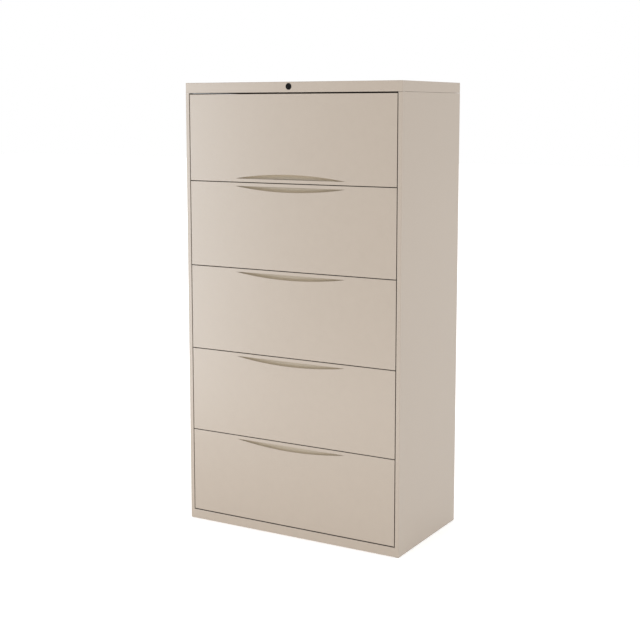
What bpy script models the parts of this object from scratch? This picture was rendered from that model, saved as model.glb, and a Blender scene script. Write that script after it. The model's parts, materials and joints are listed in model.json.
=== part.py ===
"""Lateral filing cabinet: a flip-up receding door over a roll-out shelf, and four drawers.

Metres, +Z up, the front faces -Y, the floor is Z = 0 and the origin is under the middle of the
object's box. "u" is the distance behind the front face, so a point's Y is FRONT_Y + u.
"""

import math

import bmesh
import bpy
from mathutils import Matrix, Vector

# Overall size, without the lock's bezel.
WIDTH = 0.9144
DEPTH = 0.489
HEIGHT = 1.7018

# Sheet metal.
SHELL_SHEET = 0.0012
DRAWER_SHEET = 0.0010
BEND_RADIUS = 0.0015
BEND_STEPS = 2
TOUCH = 0.0003  # gap between pieces that are screwed or welded face to face
CORNER_PLAY = 0.0006  # gap between two folded pieces that meet in a corner
SEAM = 0.0008  # the visible line between the top cap and the sides

# Face frame.
POST_WIDTH = 0.0155
POST_RETURN = 0.025
HEADER_HEIGHT = 0.038
HEADER_DEPTH = 0.026
HEADER_HEM = 0.014
HEADER_RETURN = 0.006
BASE_RAIL_TOP = 0.0373
BASE_RAIL_FLANGE = 0.020
REAR_RETURN = 0.012
BACK_FLANGE = 0.013
FOOT_PROUD = 0.0015  # how far the glides hold the shell off the floor

# Fronts.
DRAWER_COUNT = 4
SIDE_GAP = 0.003
FRONT_GAP = 0.003
DOOR_TOP_GAP = 0.0045
DOOR_HEIGHT = 0.3244
FRONT_DEPTH = 0.022

# Arc pull: a lens-shaped recess under (on the door, over) a straight lip.
PULL_LENGTH = 0.468
PULL_HEIGHT = 0.0168
PULL_LIP = 0.0140
PULL_DEPTH = 0.017
PULL_BEHIND_LIP = 0.006
PULL_WAIST = 0.6  # how high the scoop's floor curls, as a share of the pull's height
PULL_STATIONS = 12
PULL_ARC_STEPS = 4
PULL_TIP = 0.985  # the lofts stop at this share of the half length, where the lens is a sliver

# Drawer bodies.
TRAY_REAR_ROOM = 0.059
TRAY_TOP_ROOM = 0.06665
TRAY_LIFT = 0.014
TRAY_RIM = 0.005
LINER_MARGIN = 0.004
LINER_SIDE_MARGIN = 0.0047
HANG_RAIL_SPACING = 0.305
HANG_RAIL_HEIGHT = 0.020
HANG_RAIL_THICKNESS = 0.0025

# Telescopic slides.
SLIDE_SPACE = 0.0127
SLIDE_BEHIND_POST = 0.003
SLIDE_REAR_ROOM = 0.061
SLIDE_SHEET = 0.0012
SLIDE_BEND_RADIUS = 0.0008
SLIDE_OUTER_HEIGHT = 0.045
SLIDE_MIDDLE_HEIGHT = 0.0366
SLIDE_INNER_HEIGHT = 0.027
SLIDE_MIDDLE_INSET = 0.0033
SLIDE_LIFT = 0.040
SLIDE_FLANGE = 0.0104
SLIDE_MIDDLE_FLANGE = 0.0071
SLIDE_INNER_FLANGE = 0.0075
SLIDE_BEHIND_LINER = 0.004

# Uprights behind the posts, and the floor under the top compartment.
UPRIGHT_SPACE = 0.0005
UPRIGHT_WIDTH = 0.030
UPRIGHT_BEHIND_POST = 0.002
UPRIGHT_REAR_ROOM = 0.069
COMPARTMENT_FLOOR_DROP = 0.011
COMPARTMENT_FLOOR_BEHIND_LINER = 0.0012
COMPARTMENT_FLOOR_FLANGE = 0.012
REAR_CLEARANCE = 0.020

# Roll-out shelf.
SHELF_OVER_FRONT = 0.003  # how far above the drawer front below it the shelf rolls out
SHELF_BEHIND_LINER = 0.0252
SHELF_SIDE_SETBACK = 0.0215
SHELF_REAR_ROOM = 0.0355
SHELF_WALL = 0.034
SHELF_LIP = 0.012
SHELF_SLIDE_HEIGHT = 0.032
SHELF_SLIDE_INNER_HEIGHT = 0.023
SHELF_SLIDE_LIFT = 0.019
SHELF_INNER_FLANGE = 0.009

# Flip-up door: its hinge rod rides in two tracks on carriers.
PIVOT_BEHIND_FRONT = 0.008
PIVOT_BELOW_TOP = 0.030
ROD_RADIUS = 0.004
ROD_CLEARANCE = 0.0005
HINGE_ARM = 0.0025
HINGE_ARM_PAST_ROD = 0.010
HINGE_ARM_HALF_HEIGHT = 0.014
TRACK_HEIGHT = 0.024
TRACK_BEHIND_POST = 0.003
TRACK_REAR_ROOM = 0.031
TRACK_EAR_GAP = 0.0016
TRACK_OVER_UPRIGHT = 0.003
CARRIER_BEHIND_POST = 0.0035
CARRIER_LENGTH = 0.060
CARRIER_PLAY = 0.0013
CARRIER_EAR = 0.0024
CARRIER_EAR_BEHIND_POST = 0.001
CARRIER_EAR_PAST_ROD = 0.020
CARRIER_EAR_SPACE = 0.001
CARRIER_NECK_PAST_ROD = 0.0085

# Base.
PAN_TOP = 0.034
PAN_BOTTOM = 0.004
PAN_FRONT = 0.0265
PAN_BACK_CLEARANCE = 0.0145
COUNTERWEIGHT_DEPTH = 0.120
COUNTERWEIGHT_HEIGHT = 0.0155
COUNTERWEIGHT_SIDE_ROOM = 0.0772
COUNTERWEIGHT_REAR_ROOM = 0.039
GLIDE_SIDE_ROOM = 0.0472
GLIDE_FRONT = 0.070
GLIDE_REAR_ROOM = 0.069
GLIDE_FOOT_RADIUS = 0.016
GLIDE_FOOT_TOP_RADIUS = 0.011
GLIDE_FOOT_HEIGHT = 0.006
GLIDE_HEX_RADIUS = 0.0085
GLIDE_HEX_HEIGHT = 0.006
GLIDE_STEM_RADIUS = 0.004
GLIDE_STEM_TOP = 0.052
GLIDE_HOLE_CLEARANCE = 0.0006

# Lock.
LOCK_BELOW_TOP = 0.017
LOCK_PROUD = 0.0015
BEZEL_RADIUS = 0.012
BARREL_RADIUS = 0.0095
BARREL_LENGTH = 0.017
PLUG_RADIUS = 0.0070
PLUG_CLEARANCE = 0.0003
KEYWAY_WIDTH = 0.0016
KEYWAY_HEIGHT = 0.0072
KEYWAY_DEPTH = 0.008
CAM_RADIUS = 0.008
CAM_THICKNESS = 0.002
CAM_PIN_OFFSET = 0.0025  # to the side and down from the lock's axis, so a quarter turn moves it 5 mm
CAM_PIN_RADIUS = 0.0014
LOCK_BAR_THICKNESS = 0.0025
LOCK_BAR_WIDTH = 0.005
LOCK_BAR_SPACE = 0.0012
LOCK_ARM_HEIGHT = 0.010
LOCK_PAD = (0.021, 0.018)
LOCK_LUG = (0.0017, 0.012)
LOCK_SLOT_PLAY = 0.0004

ROUND_STEPS = 24
BEZEL_STEPS = 32
STEM_STEPS = 16
PIN_STEPS = 12
HEX_STEPS = 6
SMOOTH_BELOW = math.radians(40)

# Places that follow from the sizes.
HALF_WIDTH = WIDTH / 2
FRONT_Y = -(DEPTH - LOCK_PROUD) / 2
BACK_Y = FRONT_Y + DEPTH
CAP_BOTTOM = HEIGHT - HEADER_HEIGHT
POST_INNER = HALF_WIDTH - POST_WIDTH
FRONT_HALF = POST_INNER - SIDE_GAP
DOOR_TOP = CAP_BOTTOM - DOOR_TOP_GAP
DOOR_BOTTOM = DOOR_TOP - DOOR_HEIGHT
FRONTS_BOTTOM = BASE_RAIL_TOP + FRONT_GAP
DRAWER_PITCH = (DOOR_BOTTOM - FRONTS_BOTTOM) / DRAWER_COUNT
DRAWER_FRONT_HEIGHT = DRAWER_PITCH - FRONT_GAP
UPRIGHT_INNER = POST_INNER + UPRIGHT_SPACE
UPRIGHT_FRONT = POST_RETURN + UPRIGHT_BEHIND_POST
UPRIGHT_REAR = DEPTH - UPRIGHT_REAR_ROOM - UPRIGHT_WIDTH
SLIDE_START = POST_RETURN + SLIDE_BEHIND_POST
SLIDE_LENGTH = DEPTH - SLIDE_REAR_ROOM - SLIDE_START
SLIDE_OUTSIDE = UPRIGHT_INNER - TOUCH
TRAY_HALF = SLIDE_OUTSIDE - SLIDE_SPACE - TOUCH
LINER_HALF = FRONT_HALF - LINER_SIDE_MARGIN
LINER_U = FRONT_DEPTH + TOUCH
LINER_BACK = LINER_U + DRAWER_SHEET
TRAY_BACK = DEPTH - TRAY_REAR_ROOM
TRAY_HEIGHT = DRAWER_FRONT_HEIGHT - TRAY_LIFT - TRAY_TOP_ROOM
PIVOT_Z = DOOR_TOP - PIVOT_BELOW_TOP
PIVOT_BEHIND_FACE = FRONT_DEPTH + PIVOT_BEHIND_FRONT
TRACK_START = POST_RETURN + TRACK_BEHIND_POST
TRACK_BOTTOM = PIVOT_Z - TRACK_HEIGHT / 2
TRACK_OUTSIDE = HALF_WIDTH - SHELL_SHEET - TOUCH
EAR_INNER = UPRIGHT_INNER + CARRIER_EAR_SPACE
EAR_OUTER = EAR_INNER + CARRIER_EAR
GLIDE_X = HALF_WIDTH - GLIDE_SIDE_ROOM
GLIDE_REAR = DEPTH - GLIDE_REAR_ROOM
COMPARTMENT_FLOOR_TOP = DOOR_BOTTOM - COMPARTMENT_FLOOR_DROP
COMPARTMENT_FLOOR_FRONT = LINER_BACK + COMPARTMENT_FLOOR_BEHIND_LINER
SHELF_FRONT = LINER_BACK + SHELF_BEHIND_LINER
SHELF_SIDE_FRONT = SHELF_FRONT + SHELF_SIDE_SETBACK
SHELF_BOTTOM = DOOR_BOTTOM - FRONT_GAP + SHELF_OVER_FRONT
LOCK_Z = HEIGHT - LOCK_BELOW_TOP
LOCK_BAR_U = BARREL_LENGTH + TOUCH + CAM_THICKNESS + LOCK_BAR_SPACE
LOCK_BAR_OUTER = HALF_WIDTH - 2 * SHELL_SHEET
LOCK_BAR_INNER = LOCK_BAR_OUTER - LOCK_BAR_WIDTH


def clear_scene():
    for obj in list(bpy.data.objects):
        bpy.data.objects.remove(obj, do_unlink=True)


def make_material(name, colour, roughness, metallic):
    material = bpy.data.materials.new(name)
    material.use_nodes = True
    shader = material.node_tree.nodes["Principled BSDF"]
    shader.inputs["Base Color"].default_value = (*colour, 1.0)
    shader.inputs["Roughness"].default_value = roughness
    shader.inputs["Metallic"].default_value = metallic
    material.diffuse_color = (*colour, 1.0)
    return material


def link(name, bm, material):
    """The bmesh as a new object in world coordinates, its faces pointing out."""
    bmesh.ops.recalc_face_normals(bm, faces=bm.faces)
    mesh = bpy.data.meshes.new(name)
    bm.to_mesh(mesh)
    bm.free()
    obj = bpy.data.objects.new(name, mesh)
    if material is not None:
        mesh.materials.append(material)
    bpy.context.scene.collection.objects.link(obj)
    return obj


def at(u):
    """The Y of a point that lies u behind the front face."""
    return FRONT_Y + u


def box_mesh(low, high):
    low, high = Vector(low), Vector(high)
    bm = bmesh.new()
    size = high - low
    place = Matrix.Translation((low + high) / 2) @ Matrix.Diagonal((*size, 1.0))
    bmesh.ops.create_cube(bm, size=1.0, matrix=place)
    return bm


def box(name, low, high, material):
    return link(name, box_mesh(low, high), material)


def pan(name, low, high, wall, open_side, material):
    """A box of sheet metal that is open on the side that open_side points to."""
    bm = box_mesh(low, high)
    direction = Vector(open_side)
    depth = abs((Vector(high) - Vector(low)).dot(direction)) - wall
    mouth = max(bm.faces, key=lambda face: face.normal.dot(direction))
    bmesh.ops.inset_region(bm, faces=[mouth], thickness=wall)
    pushed = bmesh.ops.extrude_discrete_faces(bm, faces=[mouth])["faces"]
    bmesh.ops.translate(bm, verts=pushed[0].verts, vec=-direction * depth)
    return link(name, bm, material)


def bent_strip(path, thickness, radius=BEND_RADIUS, steps=BEND_STEPS):
    """Outline of a sheet that follows path, with its thickness on the left of the way it runs."""
    path = [Vector(point) for point in path]
    own, left = [], []
    for index, point in enumerate(path):
        before = (point - path[index - 1]).normalized() if index else None
        after = (path[index + 1] - point).normalized() if index + 1 < len(path) else None
        first, last = before or after, after or before
        turn = first.x * last.y - first.y * last.x
        normals = [Vector((-way.y, way.x)) for way in (first, last)]
        if abs(turn) < 1e-9:
            own.append(point)
            left.append(point + normals[0] * thickness)
            continue
        side = 1 if turn > 0 else -1
        near = radius + thickness if side > 0 else radius
        far = near - side * thickness
        mitre = (normals[0] + normals[1]) / (1 + normals[0].dot(normals[1]))
        centre = point + mitre * side * near
        for step in range(steps + 1):
            normal = normals[0].slerp(normals[1], step / steps)
            own.append(centre - normal * side * near)
            left.append(centre - normal * side * far)
    return own + left[::-1]


def mirrored(outline, side):
    """A 2-D outline turned over to side -1, or as it is on side +1."""
    return [Vector((point.x * side, point.y)) for point in map(Vector, outline)]


def extrusion_mesh(outline, axis, start, end):
    """An outline in the two axes other than axis, in X, Y, Z order, swept from start to end."""
    lift = {
        "X": lambda p: Vector((start, p[0], p[1])),
        "Y": lambda p: Vector((p[0], start, p[1])),
        "Z": lambda p: Vector((p[0], p[1], start)),
    }[axis]
    way = {"X": Vector((1, 0, 0)), "Y": Vector((0, 1, 0)), "Z": Vector((0, 0, 1))}[axis]
    bm = bmesh.new()
    face = bm.faces.new([bm.verts.new(lift(point)) for point in outline])
    swept = bmesh.ops.extrude_face_region(bm, geom=[face], use_keep_orig=True)["geom"]
    moved = [item for item in swept if isinstance(item, bmesh.types.BMVert)]
    bmesh.ops.translate(bm, verts=moved, vec=way * (end - start))
    return bm


def extrusion(name, outline, axis, start, end, material):
    return link(name, extrusion_mesh(outline, axis, start, end), material)


def rod_mesh(centre, radius, length, axis, steps=ROUND_STEPS, end_radius=None):
    """A cylinder, or a cone frustum, that starts at centre and runs along +axis."""
    turn = {
        "X": Matrix.Rotation(math.pi / 2, 4, "Y"),
        "Y": Matrix.Rotation(-math.pi / 2, 4, "X"),
        "Z": Matrix.Identity(4),
    }[axis]
    half = Matrix.Translation((0, 0, length / 2))
    bm = bmesh.new()
    bmesh.ops.create_cone(
        bm,
        cap_ends=True,
        segments=steps,
        radius1=radius,
        radius2=radius if end_radius is None else end_radius,
        depth=length,
        matrix=Matrix.Translation(centre) @ turn @ half,
    )
    return bm


def rod(name, centre, radius, length, axis, material, steps=ROUND_STEPS, end_radius=None):
    obj = link(name, rod_mesh(centre, radius, length, axis, steps, end_radius), material)
    obj.data.shade_smooth()
    obj.data.set_sharp_from_angle(angle=SMOOTH_BELOW)
    return obj


def helper(obj):
    """Marks an object that only shapes another one."""
    obj.hide_render = True
    obj.display_type = "WIRE"
    return obj


def boolean(obj, other, operation):
    modifier = obj.modifiers.new(other.name, "BOOLEAN")
    modifier.operation = operation
    modifier.solver = "EXACT"
    modifier.object = helper(other)
    return obj


def cut(obj, *others):
    for other in others:
        boolean(obj, other, "DIFFERENCE")
    return obj


def add(obj, *others):
    for other in others:
        boolean(obj, other, "UNION")
    return obj


def pivot(name, point):
    """An empty on a joint's axis. The pieces that move on that joint hang on it."""
    empty = bpy.data.objects.new(name, None)
    empty.location = point
    bpy.context.scene.collection.objects.link(empty)
    return empty


def hang_on(empty, *objects):
    """Moves the objects' origins to the empty and parents them to it, with nothing changing place."""
    for obj in objects:
        obj.data.transform(Matrix.Translation(-empty.location))
        obj.parent = empty


def side_panel(name, side, paint):
    path = [
        (POST_INNER, at(POST_RETURN)),
        (POST_INNER, FRONT_Y),
        (HALF_WIDTH, FRONT_Y),
        (HALF_WIDTH, BACK_Y),
        (HALF_WIDTH - REAR_RETURN, BACK_Y),
    ]
    outline = mirrored(bent_strip(path, SHELL_SHEET), side)
    return extrusion(name, outline, "Z", FOOT_PROUD, CAP_BOTTOM - SEAM, paint)


def back_panel(paint):
    half = HALF_WIDTH - REAR_RETURN - CORNER_PLAY
    path = [
        (-half, BACK_Y - BACK_FLANGE),
        (-half, BACK_Y),
        (half, BACK_Y),
        (half, BACK_Y - BACK_FLANGE),
    ]
    outline = bent_strip(path[::-1], SHELL_SHEET)
    return extrusion("back_panel", outline, "Z", FOOT_PROUD, CAP_BOTTOM - SEAM, paint)


def lock_hole(name, radius):
    start = (0, FRONT_Y - LOCK_PROUD * 4, LOCK_Z)
    return rod(name, start, radius, HEADER_DEPTH / 2, "Y", None)


def top_cap(paint):
    """The top sheet with its side and rear flanges; the header's front closes it."""
    low = Vector((-HALF_WIDTH, FRONT_Y, CAP_BOTTOM))
    high = Vector((HALF_WIDTH, BACK_Y, HEIGHT))
    wall = Vector((SHELL_SHEET,) * 3)
    open_front_and_bottom = Vector((0, -2, -2)) * SHELL_SHEET
    inside = box("cap_inside", low + wall + open_front_and_bottom, high - wall, None)
    return cut(box("top_cap", low, high, paint), inside)


def header_channel(paint):
    """The folded strip over the door: a face that carries the lock, a hem and a short return."""
    path = [
        (at(HEADER_HEM), CAP_BOTTOM + HEADER_RETURN),
        (at(HEADER_HEM), CAP_BOTTOM),
        (FRONT_Y, CAP_BOTTOM),
        (FRONT_Y, HEIGHT - SHELL_SHEET - TOUCH),
    ]
    half = HALF_WIDTH - SHELL_SHEET - TOUCH
    outline = bent_strip(path[::-1], SHELL_SHEET)
    channel = extrusion("header_channel", outline, "X", -half, half, paint)
    return cut(channel, lock_hole("header_lock_hole", BARREL_RADIUS + TOUCH))


def base_rail(paint):
    path = [
        (at(BASE_RAIL_FLANGE), BASE_RAIL_TOP),
        (FRONT_Y, BASE_RAIL_TOP),
        (FRONT_Y, FOOT_PROUD),
        (at(BASE_RAIL_FLANGE), FOOT_PROUD),
    ]
    half = POST_INNER - TOUCH
    return extrusion("base_rail", bent_strip(path, SHELL_SHEET), "X", -half, half, paint)


def glide_places():
    return {
        f"{depth}_{side}": (x, at(u))
        for depth, u in (("front", GLIDE_FRONT), ("rear", GLIDE_REAR))
        for side, x in (("left", -GLIDE_X), ("right", GLIDE_X))
    }


def bottom_pan(steel):
    half = HALF_WIDTH - SHELL_SHEET - CORNER_PLAY
    base = pan(
        "bottom_pan",
        (-half, at(PAN_FRONT), PAN_BOTTOM),
        (half, BACK_Y - PAN_BACK_CLEARANCE, PAN_TOP),
        SHELL_SHEET,
        (0, 0, -1),
        steel,
    )
    radius = GLIDE_STEM_RADIUS + GLIDE_HOLE_CLEARANCE
    for place, (x, y) in glide_places().items():
        start = (x, y, PAN_TOP - 4 * SHELL_SHEET)
        cut(base, rod(f"glide_hole_{place}", start, radius, 8 * SHELL_SHEET, "Z", None))
    return base


def counterweight(steel):
    half = HALF_WIDTH - COUNTERWEIGHT_SIDE_ROOM
    back = BACK_Y - COUNTERWEIGHT_REAR_ROOM
    bottom = PAN_TOP + TOUCH
    low = (-half, back - COUNTERWEIGHT_DEPTH, bottom)
    high = (half, back, bottom + COUNTERWEIGHT_HEIGHT)
    return box("counterweight", low, high, steel)


def glide(place, x, y, steel):
    """A foot, a hexagon and a threaded stem that stands up through the base."""
    name = f"glide_{place}"
    foot = rod(
        name,
        (x, y, 0),
        GLIDE_FOOT_RADIUS,
        GLIDE_FOOT_HEIGHT,
        "Z",
        steel,
        end_radius=GLIDE_FOOT_TOP_RADIUS,
    )
    start_z = GLIDE_FOOT_HEIGHT / 2
    start = (x, y, start_z)
    hex_length = start_z + GLIDE_HEX_HEIGHT
    stem_length = GLIDE_STEM_TOP - start_z
    hexagon = rod(f"{name}_hex", start, GLIDE_HEX_RADIUS, hex_length, "Z", None, HEX_STEPS)
    stem = rod(f"{name}_stem", start, GLIDE_STEM_RADIUS, stem_length, "Z", None, STEM_STEPS)
    add(foot, hexagon, stem)
    hang_on(pivot(f"{name}_axis", (x, y, 0)), foot)


def upright(name, side, u, steel):
    outside = HALF_WIDTH - SHELL_SHEET - TOUCH
    path = [
        (outside, at(u)),
        (UPRIGHT_INNER, at(u)),
        (UPRIGHT_INNER, at(u + UPRIGHT_WIDTH)),
        (outside, at(u + UPRIGHT_WIDTH)),
    ]
    outline = mirrored(bent_strip(path[::-1], SHELL_SHEET), side)
    top = TRACK_BOTTOM - TRACK_OVER_UPRIGHT
    return extrusion(name, outline, "Z", PAN_TOP + CORNER_PLAY, top, steel)


def compartment_floor(paint):
    path = [
        (at(COMPARTMENT_FLOOR_FRONT), COMPARTMENT_FLOOR_TOP - COMPARTMENT_FLOOR_FLANGE),
        (at(COMPARTMENT_FLOOR_FRONT), COMPARTMENT_FLOOR_TOP),
        (BACK_Y - REAR_CLEARANCE, COMPARTMENT_FLOOR_TOP),
        (BACK_Y - REAR_CLEARANCE, COMPARTMENT_FLOOR_TOP - COMPARTMENT_FLOOR_FLANGE),
    ]
    outline = bent_strip(path[::-1], SHELL_SHEET)
    half = POST_INNER - TOUCH
    return extrusion("compartment_floor", outline, "X", -half, half, paint)


def channel_outline(web_x, reach, middle_z, height, side):
    """A C section in X and Z, its web at web_x and its open side reach away from it."""
    tip = web_x + reach
    top, bottom = middle_z + height / 2, middle_z - height / 2
    path = [(tip, top), (web_x, top), (web_x, bottom), (tip, bottom)]
    along = path if reach > 0 else path[::-1]
    return mirrored(bent_strip(along, SLIDE_SHEET, SLIDE_BEND_RADIUS), side)


def slide_member(name, side, web_x, reach, middle_z, height, start, length, steel):
    outline = channel_outline(web_x, reach, middle_z, height, side)
    return extrusion(name, outline, "Y", at(start), at(start + length), steel)


def pull_loft(name, grow, start_u):
    """A solid along the arc pull, lowest corner of the face at Z = 0 and the lip above it.

    With grow 0 it is the hollow that the fingers enter; with grow at the sheet's thickness it is
    the outside of the pressed scoop. It starts start_u behind the face.
    """
    bm = bmesh.new()
    rings = []
    half = PULL_LENGTH / 2 + grow
    for station in range(PULL_STATIONS + 1):
        across = math.sin(math.pi * (station / PULL_STATIONS - 0.5)) * PULL_TIP
        share = 1 - across**2
        height = PULL_HEIGHT * share
        depth = PULL_DEPTH * math.sqrt(share) + grow
        lift = PULL_BEHIND_LIP * math.sqrt(share)
        waist = PULL_WAIST * (height + lift)
        section = [(start_u, -grow)]
        if grow:
            section += [(start_u, height + lift + grow), (depth, height + lift + grow)]
        else:
            inner = SHELL_SHEET
            section += [(start_u, height), (inner, height), (inner, height + lift)]
            section += [(depth, height + lift)]
        for step in range(PULL_ARC_STEPS):
            angle = math.pi / 2 * (1 - step / PULL_ARC_STEPS)
            section.append((depth * math.sin(angle), waist - (waist + grow) * math.cos(angle)))
        if not grow:
            section.append((0.0, 0.0))
        top = PULL_HEIGHT
        ring = [bm.verts.new((across * half, u, top - height + z)) for u, z in section]
        rings.append(ring)
    for first, second in zip(rings, rings[1:]):
        for index in range(len(first)):
            after = (index + 1) % len(first)
            bm.faces.new((first[index], first[after], second[after], second[index]))
    bm.faces.new(rings[0])
    bm.faces.new(rings[-1][::-1])
    return link(name, bm, None)


def pulled_front(name, bottom, height, lip_above, paint):
    """A pan with an arc pull pressed into it, its lip along the top edge or the bottom one."""
    low = (-FRONT_HALF, FRONT_Y, bottom)
    high = (FRONT_HALF, at(FRONT_DEPTH), bottom + height)
    front = pan(name, low, high, SHELL_SHEET, (0, 1, 0), paint)
    scoop = pull_loft(f"{name}_scoop", SHELL_SHEET, SHELL_SHEET / 4)
    hollow = pull_loft(f"{name}_hollow", 0.0, -SHELL_SHEET)
    for tool in (scoop, hollow):
        if lip_above:
            lowest = bottom + height - PULL_LIP - PULL_HEIGHT
            tool.data.transform(Matrix.Translation((0, FRONT_Y, lowest)))
        else:
            highest = bottom + PULL_LIP + PULL_HEIGHT
            turned = Matrix.Translation((0, FRONT_Y, highest)) @ Matrix.Diagonal((1, 1, -1, 1))
            tool.data.transform(turned)
            tool.data.flip_normals()
    add(front, scoop)
    cut(front, hollow)
    return front


def drawer_tray(name, bottom, paint):
    """Floor, sides and back, the tall inner front, and the slides' inner members on the sides."""
    low = bottom + TRAY_LIFT
    rim = low + TRAY_HEIGHT
    path = [
        (TRAY_HALF + TRAY_RIM, rim),
        (TRAY_HALF, rim),
        (TRAY_HALF, low),
        (-TRAY_HALF, low),
        (-TRAY_HALF, rim),
        (-TRAY_HALF - TRAY_RIM, rim),
    ]
    outline = bent_strip(path[::-1], DRAWER_SHEET)
    front_y = at(LINER_U + DRAWER_SHEET / 2)
    back_y = at(TRAY_BACK - DRAWER_SHEET / 2)
    tray = extrusion(name, outline, "Y", front_y, back_y, paint)
    liner = box(
        f"{name}_liner",
        (-LINER_HALF, at(LINER_U), bottom + LINER_MARGIN),
        (LINER_HALF, at(LINER_BACK), bottom + DRAWER_FRONT_HEIGHT - LINER_MARGIN),
        None,
    )
    back = box(
        f"{name}_back",
        (-TRAY_HALF + DRAWER_SHEET / 2, at(TRAY_BACK - DRAWER_SHEET), low + DRAWER_SHEET / 2),
        (TRAY_HALF - DRAWER_SHEET / 2, at(TRAY_BACK), rim + DRAWER_SHEET / 2),
        None,
    )
    add(tray, liner, back)
    for side in (-1, 1):
        rail = slide_member(
            f"{name}_rail_{side}",
            side,
            TRAY_HALF - DRAWER_SHEET / 2,
            SLIDE_INNER_FLANGE + DRAWER_SHEET / 2,
            low + SLIDE_LIFT,
            SLIDE_INNER_HEIGHT,
            LINER_U + SLIDE_BEHIND_LINER,
            SLIDE_LENGTH,
            None,
        )
        add(tray, rail)
    return tray


def hang_rail(name, rim, paint):
    """A flat bar across the tray whose end tabs lie on the tray's rims."""
    inside = TRAY_HALF - DRAWER_SHEET - CORNER_PLAY
    outside = TRAY_HALF + TRAY_RIM - TOUCH
    seat = rim + DRAWER_SHEET + TOUCH
    top = seat + HANG_RAIL_THICKNESS
    bottom = rim - HANG_RAIL_HEIGHT
    outline = [
        (-outside, seat),
        (-inside, seat),
        (-inside, bottom),
        (inside, bottom),
        (inside, seat),
        (outside, seat),
        (outside, top),
        (-outside, top),
    ]
    start = LINER_BACK + HANG_RAIL_SPACING
    return extrusion(name, outline, "Y", at(start), at(start + HANG_RAIL_THICKNESS), paint)


def drawer(number, bottom, paint, steel):
    name = f"drawer_{number}"
    low = bottom + TRAY_LIFT
    middle_z = low + SLIDE_LIFT
    front = pulled_front(f"{name}_front", bottom, DRAWER_FRONT_HEIGHT, True, paint)
    tray = drawer_tray(f"{name}_tray", bottom, paint)
    rail = hang_rail(f"{name}_hang_rail", low + TRAY_HEIGHT, paint)
    hang_on(pivot(f"{name}_slide_axis", (0, FRONT_Y, middle_z)), front, tray, rail)
    middle_axis = pivot(f"{name}_middle_axis", (0, at(SLIDE_START), middle_z))
    for label, side in (("left", -1), ("right", 1)):
        slide_member(
            f"{name}_slide_outer_{label}",
            side,
            SLIDE_OUTSIDE,
            -SLIDE_FLANGE,
            middle_z,
            SLIDE_OUTER_HEIGHT,
            SLIDE_START,
            SLIDE_LENGTH,
            steel,
        )
        member = slide_member(
            f"{name}_slide_middle_{label}",
            side,
            SLIDE_OUTSIDE - SLIDE_MIDDLE_INSET,
            -SLIDE_MIDDLE_FLANGE,
            middle_z,
            SLIDE_MIDDLE_HEIGHT,
            SLIDE_START,
            SLIDE_LENGTH,
            steel,
        )
        hang_on(middle_axis, member)


def shelf(paint, steel):
    """A flat roll-out shelf with low sides, a back stop, and its slides' inner members."""
    low = SHELF_BOTTOM
    wall_top = low + SHELF_WALL
    path = [(TRAY_HALF, wall_top), (TRAY_HALF, low), (-TRAY_HALF, low), (-TRAY_HALF, wall_top)]
    back_u = DEPTH - SHELF_REAR_ROOM
    outline = bent_strip(path[::-1], SHELL_SHEET)
    plate = extrusion("shelf", outline, "Y", at(SHELF_SIDE_FRONT), at(back_u), paint)
    nose = box(
        "shelf_nose",
        (-TRAY_HALF, at(SHELF_FRONT), low),
        (TRAY_HALF, at(SHELF_SIDE_FRONT + SHELL_SHEET), low + SHELL_SHEET),
        None,
    )
    lip = box(
        "shelf_lip",
        (-TRAY_HALF, at(SHELF_FRONT), low),
        (TRAY_HALF, at(SHELF_FRONT + SHELL_SHEET), low + SHELF_LIP),
        None,
    )
    stop = box(
        "shelf_stop",
        (-TRAY_HALF, at(back_u - SHELL_SHEET), low),
        (TRAY_HALF, at(back_u + SHELL_SHEET / 2), wall_top),
        None,
    )
    add(plate, nose, lip, stop)
    middle_z = low + SHELF_SLIDE_LIFT
    rail_start = SHELF_SIDE_FRONT + SHELL_SHEET
    rail_length = SLIDE_START + SLIDE_LENGTH - rail_start
    for label, side in (("left", -1), ("right", 1)):
        rail = slide_member(
            f"shelf_rail_{label}",
            side,
            TRAY_HALF - SHELL_SHEET / 2,
            SHELF_INNER_FLANGE + SHELL_SHEET / 2,
            middle_z,
            SHELF_SLIDE_INNER_HEIGHT,
            rail_start,
            rail_length,
            None,
        )
        add(plate, rail)
        slide_member(
            f"shelf_slide_{label}",
            side,
            SLIDE_OUTSIDE,
            -SLIDE_FLANGE,
            middle_z,
            SHELF_SLIDE_HEIGHT,
            SLIDE_START,
            SLIDE_LENGTH,
            steel,
        )
    hang_on(pivot("shelf_slide_axis", (0, at(SHELF_FRONT), low)), plate)


def sided_box(name, side, inner, outer, start, end, half_height, material):
    """A box on one side of the cabinet, centred in height on the door's pivot."""
    near, far = sorted((side * inner, side * outer))
    low = (near, at(start), PIVOT_Z - half_height)
    high = (far, at(end), PIVOT_Z + half_height)
    return box(name, low, high, material)


def hinge_arm(name, side):
    """An ear on the back of the door that the hinge rod passes through."""
    inner = LINER_HALF - HINGE_ARM
    start = LINER_U + DRAWER_SHEET / 2
    end = PIVOT_BEHIND_FACE + HINGE_ARM_PAST_ROD
    return sided_box(name, side, inner, LINER_HALF, start, end, HINGE_ARM_HALF_HEIGHT, None)


def rod_hole(name, start_x, length):
    start = (start_x, at(PIVOT_BEHIND_FACE), PIVOT_Z)
    return rod(name, start, ROD_RADIUS + ROD_CLEARANCE, length, "X", None)


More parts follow.
